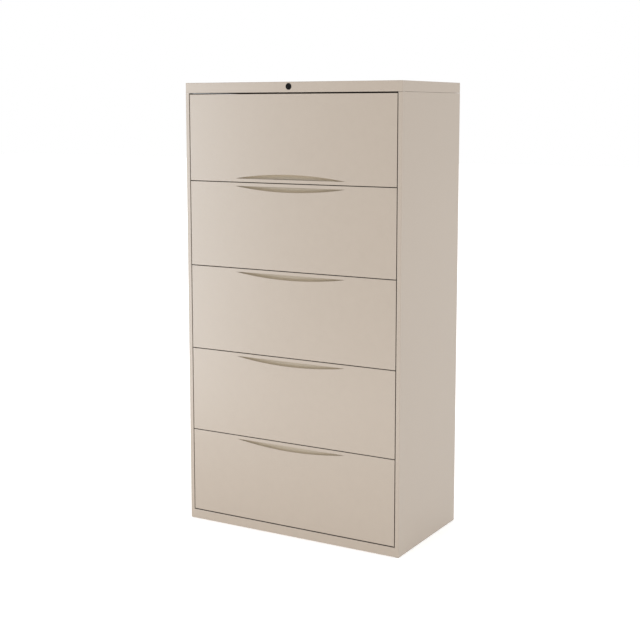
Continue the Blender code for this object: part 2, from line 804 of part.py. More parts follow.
def flip_door(paint, steel):
    front = pulled_front("door_front", DOOR_BOTTOM, DOOR_HEIGHT, False, paint)
    liner = box(
        "door_liner",
        (-LINER_HALF, at(LINER_U), DOOR_BOTTOM + LINER_MARGIN),
        (LINER_HALF, at(LINER_BACK), DOOR_TOP - LINER_MARGIN),
        paint,
    )
    arms = [hinge_arm(f"hinge_arm_{side}", side) for side in (-1, 1)]
    cut(add(liner, *arms), rod_hole("hinge_arm_holes", -HALF_WIDTH, WIDTH))
    rod_half = EAR_OUTER + TRACK_EAR_GAP
    middle = (0, at(PIVOT_BEHIND_FACE), PIVOT_Z)
    start = (-rod_half, *middle[1:])
    hinge_rod = rod("door_hinge_rod", start, ROD_RADIUS, 2 * rod_half, "X", steel)
    carriage = pivot("door_carriage_axis", middle)
    hang_on(carriage, hinge_rod)
    swing = pivot("flip_door_hinge_axis", (0, 0, 0))
    swing.parent = carriage
    hang_on(swing, front, liner)
    for obj in (front, liner):
        obj.data.transform(Matrix.Translation([-value for value in middle]))
    for label, side in (("left", -1), ("right", 1)):
        hang_on(carriage, door_carrier(f"door_carrier_{label}", side, steel))
        door_track(f"door_track_{label}", side, steel)


def door_track(name, side, steel):
    reach = EAR_OUTER + TRACK_EAR_GAP - TRACK_OUTSIDE
    outline = channel_outline(TRACK_OUTSIDE, reach, PIVOT_Z, TRACK_HEIGHT, side)
    return extrusion(name, outline, "Y", at(TRACK_START), BACK_Y - TRACK_REAR_ROOM, steel)


def door_carrier(name, side, steel):
    """A slider in the track with an ear, inboard of the track, that holds the rod's end."""
    ear_start = POST_RETURN + CARRIER_EAR_BEHIND_POST
    ear_end = PIVOT_BEHIND_FACE + CARRIER_EAR_PAST_ROD
    block_inner = EAR_OUTER + CARRIER_PLAY
    block_outer = TRACK_OUTSIDE - SLIDE_SHEET - CARRIER_PLAY / 2
    block_start = POST_RETURN + CARRIER_BEHIND_POST
    block_end = block_start + CARRIER_LENGTH
    half = TRACK_HEIGHT / 2 - SLIDE_SHEET - CARRIER_PLAY
    block = sided_box(name, side, block_inner, block_outer, block_start, block_end, half, steel)
    neck_inner = EAR_INNER + CARRIER_EAR / 2
    neck_outer = block_inner + CARRIER_PLAY
    neck_start = PIVOT_BEHIND_FACE + CARRIER_NECK_PAST_ROD
    neck = sided_box(
        f"{name}_neck", side, neck_inner, neck_outer, neck_start, ear_end - TOUCH, half / 2, None
    )
    ear = sided_box(f"{name}_ear", side, EAR_INNER, EAR_OUTER, ear_start, ear_end, half, None)
    add(block, neck, ear)
    return cut(block, rod_hole(f"{name}_hole", -HALF_WIDTH, WIDTH))


def lock(black, steel):
    middle = (0, FRONT_Y, LOCK_Z)
    bezel_start = (0, FRONT_Y - LOCK_PROUD, LOCK_Z)
    bore = PLUG_RADIUS + PLUG_CLEARANCE
    bezel_length = LOCK_PROUD - TOUCH
    barrel_length = LOCK_PROUD + BARREL_LENGTH
    bore_start = (0, FRONT_Y - 2 * LOCK_PROUD, LOCK_Z)
    housing = rod("lock_housing", bezel_start, BEZEL_RADIUS, bezel_length, "Y", black, BEZEL_STEPS)
    barrel = rod("lock_barrel", bezel_start, BARREL_RADIUS, barrel_length, "Y", None)
    opening = rod("lock_bore", bore_start, bore, 2 * BARREL_LENGTH, "Y", None)
    cut(add(housing, barrel), opening)
    plug_start = (0, FRONT_Y - LOCK_PROUD + TOUCH, LOCK_Z)
    plug_length = LOCK_PROUD - TOUCH + BARREL_LENGTH
    plug = rod("lock_plug", plug_start, PLUG_RADIUS, plug_length, "Y", black)
    keyway = box(
        "keyway",
        (-KEYWAY_WIDTH / 2, FRONT_Y - 2 * LOCK_PROUD, LOCK_Z - KEYWAY_HEIGHT / 2),
        (KEYWAY_WIDTH / 2, at(KEYWAY_DEPTH), LOCK_Z + KEYWAY_HEIGHT / 2),
        None,
    )
    cut(plug, keyway)
    cam_u = BARREL_LENGTH + TOUCH
    cam = rod("lock_cam", (0, at(cam_u), LOCK_Z), CAM_RADIUS, CAM_THICKNESS, "Y", steel)
    pin_u = cam_u + CAM_THICKNESS / 2
    pin_start = (CAM_PIN_OFFSET, at(pin_u), LOCK_Z - CAM_PIN_OFFSET)
    pin_length = LOCK_BAR_U + LOCK_BAR_THICKNESS + CORNER_PLAY - pin_u
    add(cam, rod("cam_pin", pin_start, CAM_PIN_RADIUS, pin_length, "Y", None, PIN_STEPS))
    hang_on(pivot("lock_axis", middle), plug, cam)


def lock_link(steel):
    """A flat link behind the header, with a slotted pad that the cam's pin moves sideways."""
    pad_width, pad_height = LOCK_PAD
    pad_left = CAM_PIN_OFFSET - pad_width / 2
    pad_right = pad_left + pad_width
    pad_top = LOCK_Z - CAM_PIN_OFFSET + pad_height / 2
    pad_bottom = pad_top - pad_height
    arm_top = LOCK_Z + LOCK_ARM_HEIGHT / 2
    arm_bottom = LOCK_Z - LOCK_ARM_HEIGHT / 2
    end = LOCK_BAR_INNER - TOUCH
    outline = [
        (pad_left, pad_bottom),
        (pad_right, pad_bottom),
        (pad_right, arm_bottom),
        (end, arm_bottom),
        (end, arm_top),
        (pad_right, arm_top),
        (pad_right, pad_top),
        (pad_left, pad_top),
    ]
    start = at(LOCK_BAR_U)
    link = extrusion("lock_link", outline, "Y", start, start + LOCK_BAR_THICKNESS, steel)
    slot_half = CAM_PIN_RADIUS + LOCK_SLOT_PLAY
    lowest_pin = LOCK_Z - CAM_PIN_OFFSET * math.sqrt(2)
    highest_pin = LOCK_Z - CAM_PIN_OFFSET
    low = (CAM_PIN_OFFSET - slot_half, start - LOCK_BAR_THICKNESS, lowest_pin - slot_half)
    high = (CAM_PIN_OFFSET + slot_half, start + 2 * LOCK_BAR_THICKNESS, highest_pin + slot_half)
    return cut(link, box("cam_slot", low, high, None))


def lock_bar(steel):
    """A flat bar down the inside of the right post, with a lug level with each drawer."""
    lug_reach, lug_height = LOCK_LUG
    top = LOCK_Z + LOCK_ARM_HEIGHT / 2
    bottom = FRONTS_BOTTOM + TRAY_LIFT
    outline = [(LOCK_BAR_INNER, top)]
    for index in range(DRAWER_COUNT):
        lug_top = DOOR_BOTTOM - FRONT_GAP - index * DRAWER_PITCH - DRAWER_FRONT_HEIGHT / 2
        outline += [
            (LOCK_BAR_INNER, lug_top),
            (LOCK_BAR_INNER - lug_reach, lug_top),
            (LOCK_BAR_INNER - lug_reach, lug_top - lug_height),
            (LOCK_BAR_INNER, lug_top - lug_height),
        ]
    outline += [(LOCK_BAR_INNER, bottom), (LOCK_BAR_OUTER, bottom), (LOCK_BAR_OUTER, top)]
    start = at(LOCK_BAR_U)
    return extrusion("lock_bar", outline, "Y", start, start + LOCK_BAR_THICKNESS, steel)


def main():
    clear_scene()
    paint = make_material("putty_paint", (0.56, 0.50, 0.42), 0.45, 0.0)
    steel = make_material("zinc_plated_steel", (0.60, 0.60, 0.60), 0.35, 1.0)
    black = make_material("black_lock", (0.02, 0.02, 0.02), 0.35, 0.0)
    for label, side in (("left", -1), ("right", 1)):
        side_panel(f"{label}_side_panel", side, paint)
        upright(f"upright_front_{label}", side, UPRIGHT_FRONT, steel)
        upright(f"upright_rear_{label}", side, UPRIGHT_REAR, steel)
    back_panel(paint)
    top_cap(paint)
    header_channel(paint)
    base_rail(paint)
    bottom_pan(steel)
    counterweight(steel)
    compartment_floor(paint)
    for place, (x, y) in glide_places().items():
        glide(place, x, y, steel)
    for number in range(1, DRAWER_COUNT + 1):
        drawer(number, DOOR_BOTTOM - number * DRAWER_PITCH, paint, steel)
    shelf(paint, steel)
    flip_door(paint, steel)
    lock(black, steel)
    hang_on(pivot("lock_bar_axis", (0, at(LOCK_BAR_U), LOCK_Z)), lock_link(steel), lock_bar(steel))


main()
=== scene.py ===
# %% [markdown]
# # A tall lateral filing cabinet, powder coated in putty
#
# The cabinet is folded sheet steel: a cap, two side skins whose front edges fold round into
# posts, a back, a kick rail, one flip-up door and four drawers with long arc pulls. A packed
# model gives every working piece its size, its place and its joint. This script keeps those
# places and makes what the eye meets: rounded folds, pressed pulls, a turned lock, a paint
# with a skin to it and bright zinc on the running gear.
#
# Everything is in metres with the front facing -Y. Each new piece is built where it stands,
# so its object stays at the origin and its patterns stay put when a drawer rolls out.

import json
import math

import bmesh
import bpy
from mathutils import Matrix, Vector


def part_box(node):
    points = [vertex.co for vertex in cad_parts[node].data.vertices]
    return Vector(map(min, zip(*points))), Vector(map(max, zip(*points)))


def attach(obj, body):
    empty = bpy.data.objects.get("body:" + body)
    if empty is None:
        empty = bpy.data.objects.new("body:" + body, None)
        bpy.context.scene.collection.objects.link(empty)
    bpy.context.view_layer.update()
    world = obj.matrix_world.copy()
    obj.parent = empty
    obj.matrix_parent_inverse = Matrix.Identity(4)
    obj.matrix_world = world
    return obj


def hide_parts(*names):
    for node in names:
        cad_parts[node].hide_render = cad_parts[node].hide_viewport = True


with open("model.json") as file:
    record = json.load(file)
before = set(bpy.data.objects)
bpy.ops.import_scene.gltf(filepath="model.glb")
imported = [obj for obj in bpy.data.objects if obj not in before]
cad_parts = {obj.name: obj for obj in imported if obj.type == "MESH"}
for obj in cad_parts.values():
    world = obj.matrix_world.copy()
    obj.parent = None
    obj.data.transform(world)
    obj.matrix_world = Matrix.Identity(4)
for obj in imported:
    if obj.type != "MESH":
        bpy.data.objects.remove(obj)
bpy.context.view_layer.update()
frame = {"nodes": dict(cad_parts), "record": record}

# %% [markdown]
# ## Reading sizes from the model
#
# A folded cabinet is mostly a few planes: the face of the fronts, the back, the top of the
# kick rail. Typing those numbers again would let the looks and the works drift apart, so the
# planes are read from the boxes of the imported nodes. Only what a box can't tell, such as the
# thickness of the sheet, is stated.

# %% Planes and sizes
cap_low, cap_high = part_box("top_cap")
rail_low, rail_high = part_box("base_rail")
side_low, side_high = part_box("right_side_panel")

FACE_Y = cap_low.y
BACK_Y = cap_high.y
HALF_WIDTH = cap_high.x
CAP_BOTTOM = cap_low.z
TOP_Z = cap_high.z
SHELL_SHEET = 0.0012
FOLD_RADIUS = 0.0013
POST_WIDTH = 0.0155
POST_INNER = HALF_WIDTH - POST_WIDTH
print("face", round(FACE_Y, 5), "post inner edge", round(POST_INNER, 5))

# %% [markdown]
# ## Nodes, wires and groups
#
# A material is a small drawing of boxes and wires. Three helpers keep that drawing short: one
# adds a box and plugs its inputs, one opens a group with named sockets, and one does a sum. An
# effect that several finishes share is built once as a group, and each finish sets its own
# values on it.

# %% Helpers for shader trees
def add_node(tree, kind, inputs=None, **settings):
    """One shader node; an input given as a socket is wired, anything else is a value."""
    made = tree.nodes.new("ShaderNode" + kind)
    for setting, value in settings.items():
        setattr(made, setting, value)
    for socket, value in (inputs or {}).items():
        if isinstance(value, bpy.types.NodeSocket):
            tree.links.new(value, made.inputs[socket])
        else:
            made.inputs[socket].default_value = value
    return made


def open_group(name, inputs, outputs):
    """An empty group, and the sockets of its two end nodes.

    Inputs are given as (label, kind, value) and outputs as (label, kind).
    """
    tree = bpy.data.node_groups.new(name, "ShaderNodeTree")
    for label, kind, value in inputs:
        socket = tree.interface.new_socket(
            name=label, in_out="INPUT", socket_type="NodeSocket" + kind)
        socket.default_value = value
    for label, kind in outputs:
        tree.interface.new_socket(
            name=label, in_out="OUTPUT", socket_type="NodeSocket" + kind)
    given = tree.nodes.new("NodeGroupInput").outputs
    result = tree.nodes.new("NodeGroupOutput").inputs
    return tree, given, result


def calculate(tree, operation, *values):
    """A Math node's result; the values are sockets or numbers."""
    return add_node(tree, "Math", dict(enumerate(values)), operation=operation).outputs[0]


def srgb(red, green, blue):
    """A colour as a person reads it off a paint chart, 0 to 255, turned to the shader's scale."""
    def linear(channel):
        share = channel / 255
        return share / 12.92 if share <= 0.04045 else ((share + 0.055) / 1.055) ** 2.4
    return (linear(red), linear(green), linear(blue), 1.0)

# %% [markdown]
# ## The skin of powder coat
#
# Powder paint is blown on dry and melted in an oven. It flows out almost flat but never
# quite: up close the gloss breaks into a fine orange peel about a millimetre across, riding
# on a slower ripple, and the colour wanders by a percent or two over a big panel. A bump
# node turns the height into light and shade. Geometry this fine would cost millions of
# faces, so it belongs in the shader.

# %% The orange-peel group
NEUTRAL = (0.5, 0.5, 0.5, 1)
PEEL_SCALE = 620.0
RIPPLE_SCALE = 130.0
RIPPLE_SHARE = 0.8
CLOUD_SCALE = 34.0
WANDER_SCALE = 2.1
GLOSS_SWING = 0.10


def noise(tree, where, scale, detail):
    """The grey value of a noise texture, from 0 to 1 and about 0.5 on average."""
    made = add_node(tree, "TexNoise", {"Vector": where, "Scale": scale, "Detail": detail})
    return made.outputs["Fac"]


def build_orange_peel():
    tree, given, result = open_group(
        "orange_peel",
        [("Paint", "Color", NEUTRAL), ("Gloss Loss", "Float", 0.4), ("Drift", "Float", 0.03),
         ("Peel Scale", "Float", PEEL_SCALE)],
        [("Color", "Color"), ("Roughness", "Float"), ("Height", "Float")],
    )
    where = add_node(tree, "TexCoord").outputs["Object"]
    slow = noise(tree, where, WANDER_SCALE, 3.0)
    cloud = noise(tree, where, CLOUD_SCALE, 2.0)
    centred = calculate(tree, "SUBTRACT", calculate(tree, "ADD", slow, cloud), 1.0)
    swing = calculate(tree, "MULTIPLY", centred, given["Drift"])
    brightness = calculate(tree, "ADD", swing, 1.0)
    toned = add_node(
        tree, "VectorMath", {0: given["Paint"], "Scale": brightness}, operation="SCALE")
    tree.links.new(toned.outputs[0], result["Color"])
    dulled = calculate(tree, "MULTIPLY_ADD", cloud, GLOSS_SWING, -GLOSS_SWING / 2)
    tree.links.new(calculate(tree, "ADD", given["Gloss Loss"], dulled), result["Roughness"])
    peel = noise(tree, where, given["Peel Scale"], 1.5)
    ripple = noise(tree, where, RIPPLE_SCALE, 1.0)
    height = calculate(tree, "MULTIPLY_ADD", ripple, RIPPLE_SHARE, peel)
    tree.links.new(height, result["Height"])
    return tree


orange_peel = build_orange_peel()
print("group", orange_peel.name, "with", len(orange_peel.interface.items_tree), "sockets")

# %% [markdown]
# ## Dust that settles
#
# Faces that look up gather a thin grey veil: the cap, the rims of the trays, the floor of a
# pull. The group asks the surface which way it faces, in the piece's own coordinates so the
# dust stays where it fell when the door swings up, and breaks the veil with noise.

# %% The settled-dust group
DUST_GREY = srgb(186, 182, 174)
DUST_DULLNESS = 0.5
LIES_FROM, LIES_FULLY = 0.55, 0.98
PATCH_SCALE, PATCH_DETAIL, PATCH_ROUGHNESS = 17.0, 6.0, 0.62
VEIL_FROM, VEIL_TO = 0.25, 0.75


def mix_colours(tree, share, first, second):
    """The first colour at a share of 0, the second at 1."""
    made = add_node(tree, "Mix", {0: share, 6: first, 7: second}, data_type="RGBA")
    return made.outputs[2]


def build_settled_dust():
    tree, given, result = open_group(
        "settled_dust",
        [("Color", "Color", NEUTRAL), ("Roughness", "Float", 0.4), ("Amount", "Float", 0.2)],
        [("Color", "Color"), ("Roughness", "Float")],
    )
    place = add_node(tree, "TexCoord").outputs
    facing = add_node(tree, "SeparateXYZ", {0: place["Normal"]}).outputs["Z"]
    upward = add_node(
        tree, "MapRange", {"Value": facing, "From Min": LIES_FROM, "From Max": LIES_FULLY},
        interpolation_type="SMOOTHSTEP")
    patchy = add_node(tree, "TexNoise", {
        "Vector": place["Object"], "Scale": PATCH_SCALE, "Detail": PATCH_DETAIL,
        "Roughness": PATCH_ROUGHNESS})
    veil = add_node(tree, "MapRange", {
        "Value": patchy.outputs["Fac"], "From Min": VEIL_FROM, "From Max": VEIL_TO})
    lying = calculate(tree, "MULTIPLY", upward.outputs[0], veil.outputs[0])
    share = calculate(tree, "MULTIPLY", lying, given["Amount"])
    tree.links.new(mix_colours(tree, share, given["Color"], DUST_GREY), result["Color"])
    rough = calculate(tree, "MULTIPLY_ADD", share, DUST_DULLNESS, given["Roughness"])
    tree.links.new(rough, result["Roughness"])
    return tree


settled_dust = build_settled_dust()
print("group", settled_dust.name)

# %% [markdown]
# ## Painted shade in the gaps, painted bounce light in the pulls
#
# The walls of the slots a few millimetres wide round each front, and the space behind the lip
# of each pull, are painted dark brown and dulled. This is painted shade, standing in for the
# shadow that falls in the gaps. Which points get it is a matter of the piece and not of its
# paint, so each piece marks its own in an attribute, and the group reads it. A second
# attribute marks the scoops of the pulls, which are painted a warmer putty the deeper they go.
# This is painted bounce light, standing in for light that bounces from paint to paint there.

# %% The painted gap-shade group
# Painted bounce light: the warmer putty of the pull scoops.
PAINTED_BOUNCE_PUTTY = srgb(183, 168, 145)
# Painted shade: the dark brown of the gap walls and of the space behind the lips.
PAINTED_SHADE_BROWN = srgb(40, 30, 22)


def build_painted_gap_shade():
    tree, given, result = open_group(
        "painted_gap_shade",
        [("Color", "Color", NEUTRAL), ("Roughness", "Float", 0.4), ("Loss", "Float", 0.7)],
        [("Color", "Color"), ("Roughness", "Float")],
    )
    # Painted shade: marked points are mixed towards dark brown and dulled.
    painted_shade = add_node(tree, "Attribute", attribute_name="painted_shade").outputs["Fac"]
    # Painted bounce light: the marked scoops are mixed towards a warmer putty.
    painted_bounce = add_node(tree, "Attribute", attribute_name="painted_bounce").outputs["Fac"]
    bounce_tinted = mix_colours(tree, painted_bounce, given["Color"], PAINTED_BOUNCE_PUTTY)
    share = calculate(tree, "MULTIPLY", painted_shade, given["Loss"])
    tree.links.new(mix_colours(tree, share, bounce_tinted, PAINTED_SHADE_BROWN), result["Color"])
    dulled = add_node(
        tree, "MapRange", {"Value": share, "To Min": given["Roughness"], "To Max": 1.0})
    tree.links.new(dulled.outputs[0], result["Roughness"])
    return tree


painted_gap_shade = build_painted_gap_shade()
print("group", painted_gap_shade.name)

# %% [markdown]
# ## Mill grain in bare steel
#
# Slides, tracks and bars are cold rolled and zinc plated. Rolling leaves faint lines along
# the strip, and the bright plating carries small cloudy crystals. Stretching one noise along
# the direction of rolling gives the lines, and a Voronoi pattern gives the crystals.

# %% The mill-grain group
STRIP_STRETCH = (900.0, 14.0, 900.0)
CRYSTAL_SCALE = 150.0
CRYSTAL_SHARE = 0.45
GRAIN_MIDDLE = 0.72
GRAIN_DULLNESS = 0.18


def build_mill_grain():
    tree, given, result = open_group(
        "mill_grain",
        [("Metal", "Color", NEUTRAL), ("Roughness", "Float", 0.35), ("Contrast", "Float", 0.2),
         ("Stretch", "Vector", STRIP_STRETCH)],
        [("Color", "Color"), ("Roughness", "Float"), ("Height", "Float")],
    )
    where = add_node(tree, "TexCoord").outputs["Object"]
    along = add_node(tree, "VectorMath", {0: where, 1: given["Stretch"]}, operation="MULTIPLY")
    lines = noise(tree, along.outputs[0], 1.0, 3.0)
    crystals = add_node(
        tree, "TexVoronoi", {"Vector": where, "Scale": CRYSTAL_SCALE}, feature="F1")
    crystal = add_node(tree, "SeparateColor", {0: crystals.outputs["Color"]}).outputs[0]
    blend = calculate(tree, "MULTIPLY_ADD", crystal, CRYSTAL_SHARE, lines)
    centred = calculate(tree, "SUBTRACT", blend, GRAIN_MIDDLE)
    swing = calculate(tree, "MULTIPLY_ADD", centred, given["Contrast"], 1.0)
    toned = add_node(tree, "VectorMath", {0: given["Metal"], "Scale": swing}, operation="SCALE")
    tree.links.new(toned.outputs[0], result["Color"])
    rough = calculate(tree, "MULTIPLY_ADD", centred, GRAIN_DULLNESS, given["Roughness"])
    tree.links.new(rough, result["Roughness"])
    tree.links.new(lines, result["Height"])
    return tree


mill_grain = build_mill_grain()
print("group", mill_grain.name)

# %% [markdown]
# ## Two families of finish
#
# Paint is a plastic skin, so it takes its colour from the base and reflects like plastic.
# Zinc is a metal, so the reflection itself carries the colour. Both wear the same dust group
# with their own amount, and both end in a Principled shader that stays outside the groups.

# %% Helpers for finishes
def grouped(tree, group, values):
    """Places a group in a material, with its own values, and returns what it puts out."""
    placed = tree.nodes.new("ShaderNodeGroup")
    placed.node_tree = group
    for socket, value in values.items():
        if isinstance(value, bpy.types.NodeSocket):
            tree.links.new(value, placed.inputs[socket])
        else:
            placed.inputs[socket].default_value = value
    return placed.outputs


def start_finish(name):
    """A material with an empty tree, its Principled shader and its output already joined."""
    material = bpy.data.materials.new(name)
    material.use_nodes = True
    tree = material.node_tree
    tree.nodes.clear()
    shader = add_node(tree, "BsdfPrincipled")
    add_node(tree, "OutputMaterial", {"Surface": shader.outputs[0]})
    return material, tree, shader


def join_surface(tree, shader, colour, roughness, height, bump_depth):
    """Wires what varies over the surface into the shader, its fine height as a bump."""
    bump = add_node(tree, "Bump", {"Height": height, "Strength": 1.0, "Distance": bump_depth})
    tree.links.new(colour, shader.inputs["Base Color"])
    tree.links.new(roughness, shader.inputs["Roughness"])
    tree.links.new(bump.outputs[0], shader.inputs["Normal"])


# %% Paint and plate
# How strongly the painted gap shade darkens the marked walls.
GAP_SHADE_STRENGTH = 0.86


def powder_coat(name, paint, gloss_loss, drift, dust, peel_depth,
                peel_scale=PEEL_SCALE, shine=0.5):
    """A paint: orange peel, painted gap shade and pull bounce light over it, and dust on top."""
    material, tree, shader = start_finish(name)
    coat = grouped(tree, orange_peel, {
        "Paint": paint, "Gloss Loss": gloss_loss, "Drift": drift, "Peel Scale": peel_scale})
    # Painted shade in the gaps and painted bounce light in the pull scoops.
    gap_shaded = grouped(tree, painted_gap_shade, {
        "Color": coat["Color"], "Roughness": coat["Roughness"], "Loss": GAP_SHADE_STRENGTH})
    dusty = grouped(tree, settled_dust, {
        "Color": gap_shaded["Color"], "Roughness": gap_shaded["Roughness"], "Amount": dust})
    join_surface(tree, shader, dusty["Color"], dusty["Roughness"], coat["Height"], peel_depth)
    shader.inputs["Specular IOR Level"].default_value = shine
    return material


def bare_metal(name, metal, roughness, contrast, dust, grain_depth, stretch=STRIP_STRETCH):
    """A metal: mill grain with dust on top."""
    material, tree, shader = start_finish(name)
    milled = grouped(tree, mill_grain, {
        "Metal": metal, "Roughness": roughness, "Contrast": contrast, "Stretch": stretch})
    dusty = grouped(tree, settled_dust, {
        "Color": milled["Color"], "Roughness": milled["Roughness"], "Amount": dust})
    join_surface(tree, shader, dusty["Color"], dusty["Roughness"], milled["Height"], grain_depth)
    shader.inputs["Metallic"].default_value = 1.0
    return material


# %% Make the finishes
putty_coat = powder_coat(
    "putty_coat", srgb(173, 160, 146), gloss_loss=0.36, drift=0.035, dust=0.10,
    peel_depth=0.00012)
putty_inner = powder_coat(
    "putty_inner_coat", srgb(174, 161, 145), gloss_loss=0.48, drift=0.05, dust=0.22,
    peel_depth=0.00014)
lock_black = powder_coat(
    "lock_black", srgb(6, 5, 5), gloss_loss=0.30, drift=0.10, dust=0.005,
    peel_depth=0.00002, peel_scale=900.0, shine=0.08)
zinc_plate = bare_metal(
    "zinc_plate", srgb(196, 199, 202), roughness=0.34, contrast=0.22, dust=0.15,
    grain_depth=0.00002)
turned_steel = bare_metal(
    "turned_steel", srgb(176, 177, 178), roughness=0.30, contrast=0.14, dust=0.05,
    grain_depth=0.00002, stretch=(60.0, 60.0, 1400.0))
mill_scale = bare_metal(
    "mill_scale", srgb(74, 70, 66), roughness=0.62, contrast=0.60, dust=0.35,
    grain_depth=0.00010, stretch=(70.0, 30.0, 70.0))
print("finishes", [material.name for material in bpy.data.materials if material.use_nodes])

# %% [markdown]
# ## From a mesh to a piece
#
# A press-folded part has broad flat faces and tight round edges. If a mesh simply averages
# its normals, the light of the edge leaks far into the flat. Weighting each normal by the
# area of its faces keeps the flats flat and lets the folds catch their thin highlight.

# %% Finish a piece
SHARP_FROM = math.radians(38)
# Only points this far behind the face can get painted shade.
PAINTED_SHADE_DEPTH = 0.0014


def finish_piece(name, bm, material, body, slot, *replaced):
    """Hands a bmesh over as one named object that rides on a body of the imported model."""
    mesh = bpy.data.meshes.new(name)
    bm.to_mesh(mesh)
    bm.free()
    mesh.shade_smooth()
    mesh.set_sharp_from_angle(angle=SHARP_FROM)
    mesh.materials.append(material)
    piece = bpy.data.objects.new(name, mesh)
    bpy.context.scene.collection.objects.link(piece)
    flats = piece.modifiers.new("flats_stay_flat", "WEIGHTED_NORMAL")
    flats.keep_sharp = True
    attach(piece, body)
    if replaced:
        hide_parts(*replaced)
    mesh.calc_loop_triangles()
    print(name, "rides on", body, "with", len(mesh.loop_triangles), "triangles")
    return piece


def mark_painted_shade(bm, hidden):
    """Marks the points that get painted shade; hidden tells whether a point is one."""
    layer = bm.verts.layers.float.new("painted_shade")
    for vert in bm.verts:
        vert[layer] = float(vert.co.y > FACE_Y + PAINTED_SHADE_DEPTH and hidden(vert.co))


def new_verts(result):
    return [item for item in result["geom"] if isinstance(item, bmesh.types.BMVert)]


def new_edges(result):
    return [item for item in result["geom"] if isinstance(item, bmesh.types.BMEdge)]

# %% [markdown]
# ## Folded sheet
#
# A press brake bends a flat blank along straight lines. The mesh is made in the same order:
# a line of corners is swept into flat walls, the folds between them are rolled round with a
# bevel, and the sheet gets its thickness last, so the inside of each fold is tighter than
# the outside. The faces that come first are the outside of the sheet.

# %% Fold a sheet along a path
FOLDED_FROM = math.radians(30)
FOLD_STEPS = 5


def fold_sheet(corners, sweep, bend_radius=FOLD_RADIUS):
    """A sheet folded along a line of corners and as long as the sweep."""
    bm = bmesh.new()
    line = [bm.verts.new(corner) for corner in corners]
    edges = [bm.edges.new(pair) for pair in zip(line, line[1:])]
    swept = bmesh.ops.extrude_edge_only(bm, edges=edges)
    bmesh.ops.translate(bm, verts=new_verts(swept), vec=sweep)
    folds = [edge for edge in bm.edges if edge.calc_face_angle(0) > FOLDED_FROM]
    bmesh.ops.bevel(
        bm, geom=folds, offset=bend_radius, affect="EDGES", segments=FOLD_STEPS,
        profile=0.5, material=-1)
    return bm


def thicken(bm, outward_hint, sheet=SHELL_SHEET):
    """Turns the outside faces to look away from the hint, then grows the sheet inwards."""
    broad = max(bm.faces, key=lambda face: face.calc_area())
    if broad.normal.dot(broad.calc_center_median() - Vector(outward_hint)) < 0:
        bmesh.ops.reverse_faces(bm, faces=bm.faces[:])
    bm.normal_update()
    bmesh.ops.solidify(bm, geom=bm.faces[:], thickness=sheet)
    return bm


cabinet_middle = (0, 0, TOP_Z / 2)

# %% [markdown]
# ## The side skins
#
# Each side is one sheet that also makes the front post: it runs forward along the side,
# turns across the face for 15.5 mm, and turns again to make a return that stiffens the post.
# At the rear it turns in by 12 mm, which is where the back is fixed.

# %% Both side skins
POST_RETURN = 0.025
GAP_WALL = 0.0017
REAR_RETURN = 0.012

for side, name in ((-1, "left_side_panel"), (1, "right_side_panel")):
    bm = fold_sheet(
        [
            (side * POST_INNER, FACE_Y + POST_RETURN, side_low.z),
            (side * POST_INNER, FACE_Y + GAP_WALL, side_low.z),
            (side * POST_INNER, FACE_Y, side_low.z),
            (side * HALF_WIDTH, FACE_Y, side_low.z),
            (side * HALF_WIDTH, BACK_Y, side_low.z),
            (side * (HALF_WIDTH - REAR_RETURN), BACK_Y, side_low.z),
        ],
        (0, 0, side_high.z - side_low.z),
    )
    thicken(bm, cabinet_middle)
    # Painted shade on the post's return, the wall of the gap beside the fronts.
    mark_painted_shade(bm, lambda at: abs(at.x) < POST_INNER + 2 * SHELL_SHEET and at.y < 0)
    finish_piece(name.replace("panel", "skin"), bm, putty_coat, "cabinet", "putty_paint", name)

# %% [markdown]
# ## The back and the kick rail
#
# The back is a plain sheet with short flanges that drop inside the side returns. The kick
# rail closes the bottom of the face: a channel folded back at its top and bottom edges. Its
# ends lap over the posts' rounded edges, where the real one is welded and ground flush. The
# stack of fronts has a little more room above and below it than between two fronts, so the
# tops of the kick rail and of the door are drawn a hair lower.

# %% Back skin and kick rail
END_GAP_EASE = 0.0009
back_low, back_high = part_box("back_panel")
bm = fold_sheet(
    [
        (back_low.x, back_low.y, back_low.z),
        (back_low.x, BACK_Y, back_low.z),
        (back_high.x, BACK_Y, back_low.z),
        (back_high.x, back_low.y, back_low.z),
    ],
    (0, 0, back_high.z - back_low.z),
)
thicken(bm, cabinet_middle)
finish_piece("back_skin", bm, putty_coat, "cabinet", "putty_paint", "back_panel")

weld_x = POST_INNER + FOLD_RADIUS
rail_top = rail_high.z - END_GAP_EASE
bm = fold_sheet(
    [
        (-weld_x, rail_high.y, rail_top),
        (-weld_x, FACE_Y + GAP_WALL, rail_top),
        (-weld_x, FACE_Y, rail_top),
        (-weld_x, FACE_Y, rail_low.z),
        (-weld_x, rail_high.y, rail_low.z),
    ],
    (2 * weld_x, 0, 0),
)
thicken(bm, (0, 0, (rail_low.z + rail_high.z) / 2))
# Painted shade on the rail's top, the wall of the gap under the lowest drawer.
mark_painted_shade(bm, lambda at: at.z > rail_top - 2 * SHELL_SHEET)
finish_piece("kick_rail", bm, putty_coat, "cabinet", "putty_paint", "base_rail")

# %% [markdown]
# ## The cap
#
# The cap is a shallow lid drawn over the top, with its edges rounded and a round hole for
# the lock. The hole starts as a small square cut free in the front wall. Its sides are
# divided to match a circle, and bridging the two loops gives an even ring of faces, which
# shades better than a hole punched with a Boolean.

# %% Cut a round hole
MERGE = 1e-6
HOLE_CUTS = 7


def slice_through(bm, point, normal):
    everything = bm.verts[:] + bm.edges[:] + bm.faces[:]
    bmesh.ops.bisect_plane(bm, geom=everything, dist=MERGE, plane_co=point, plane_no=normal)


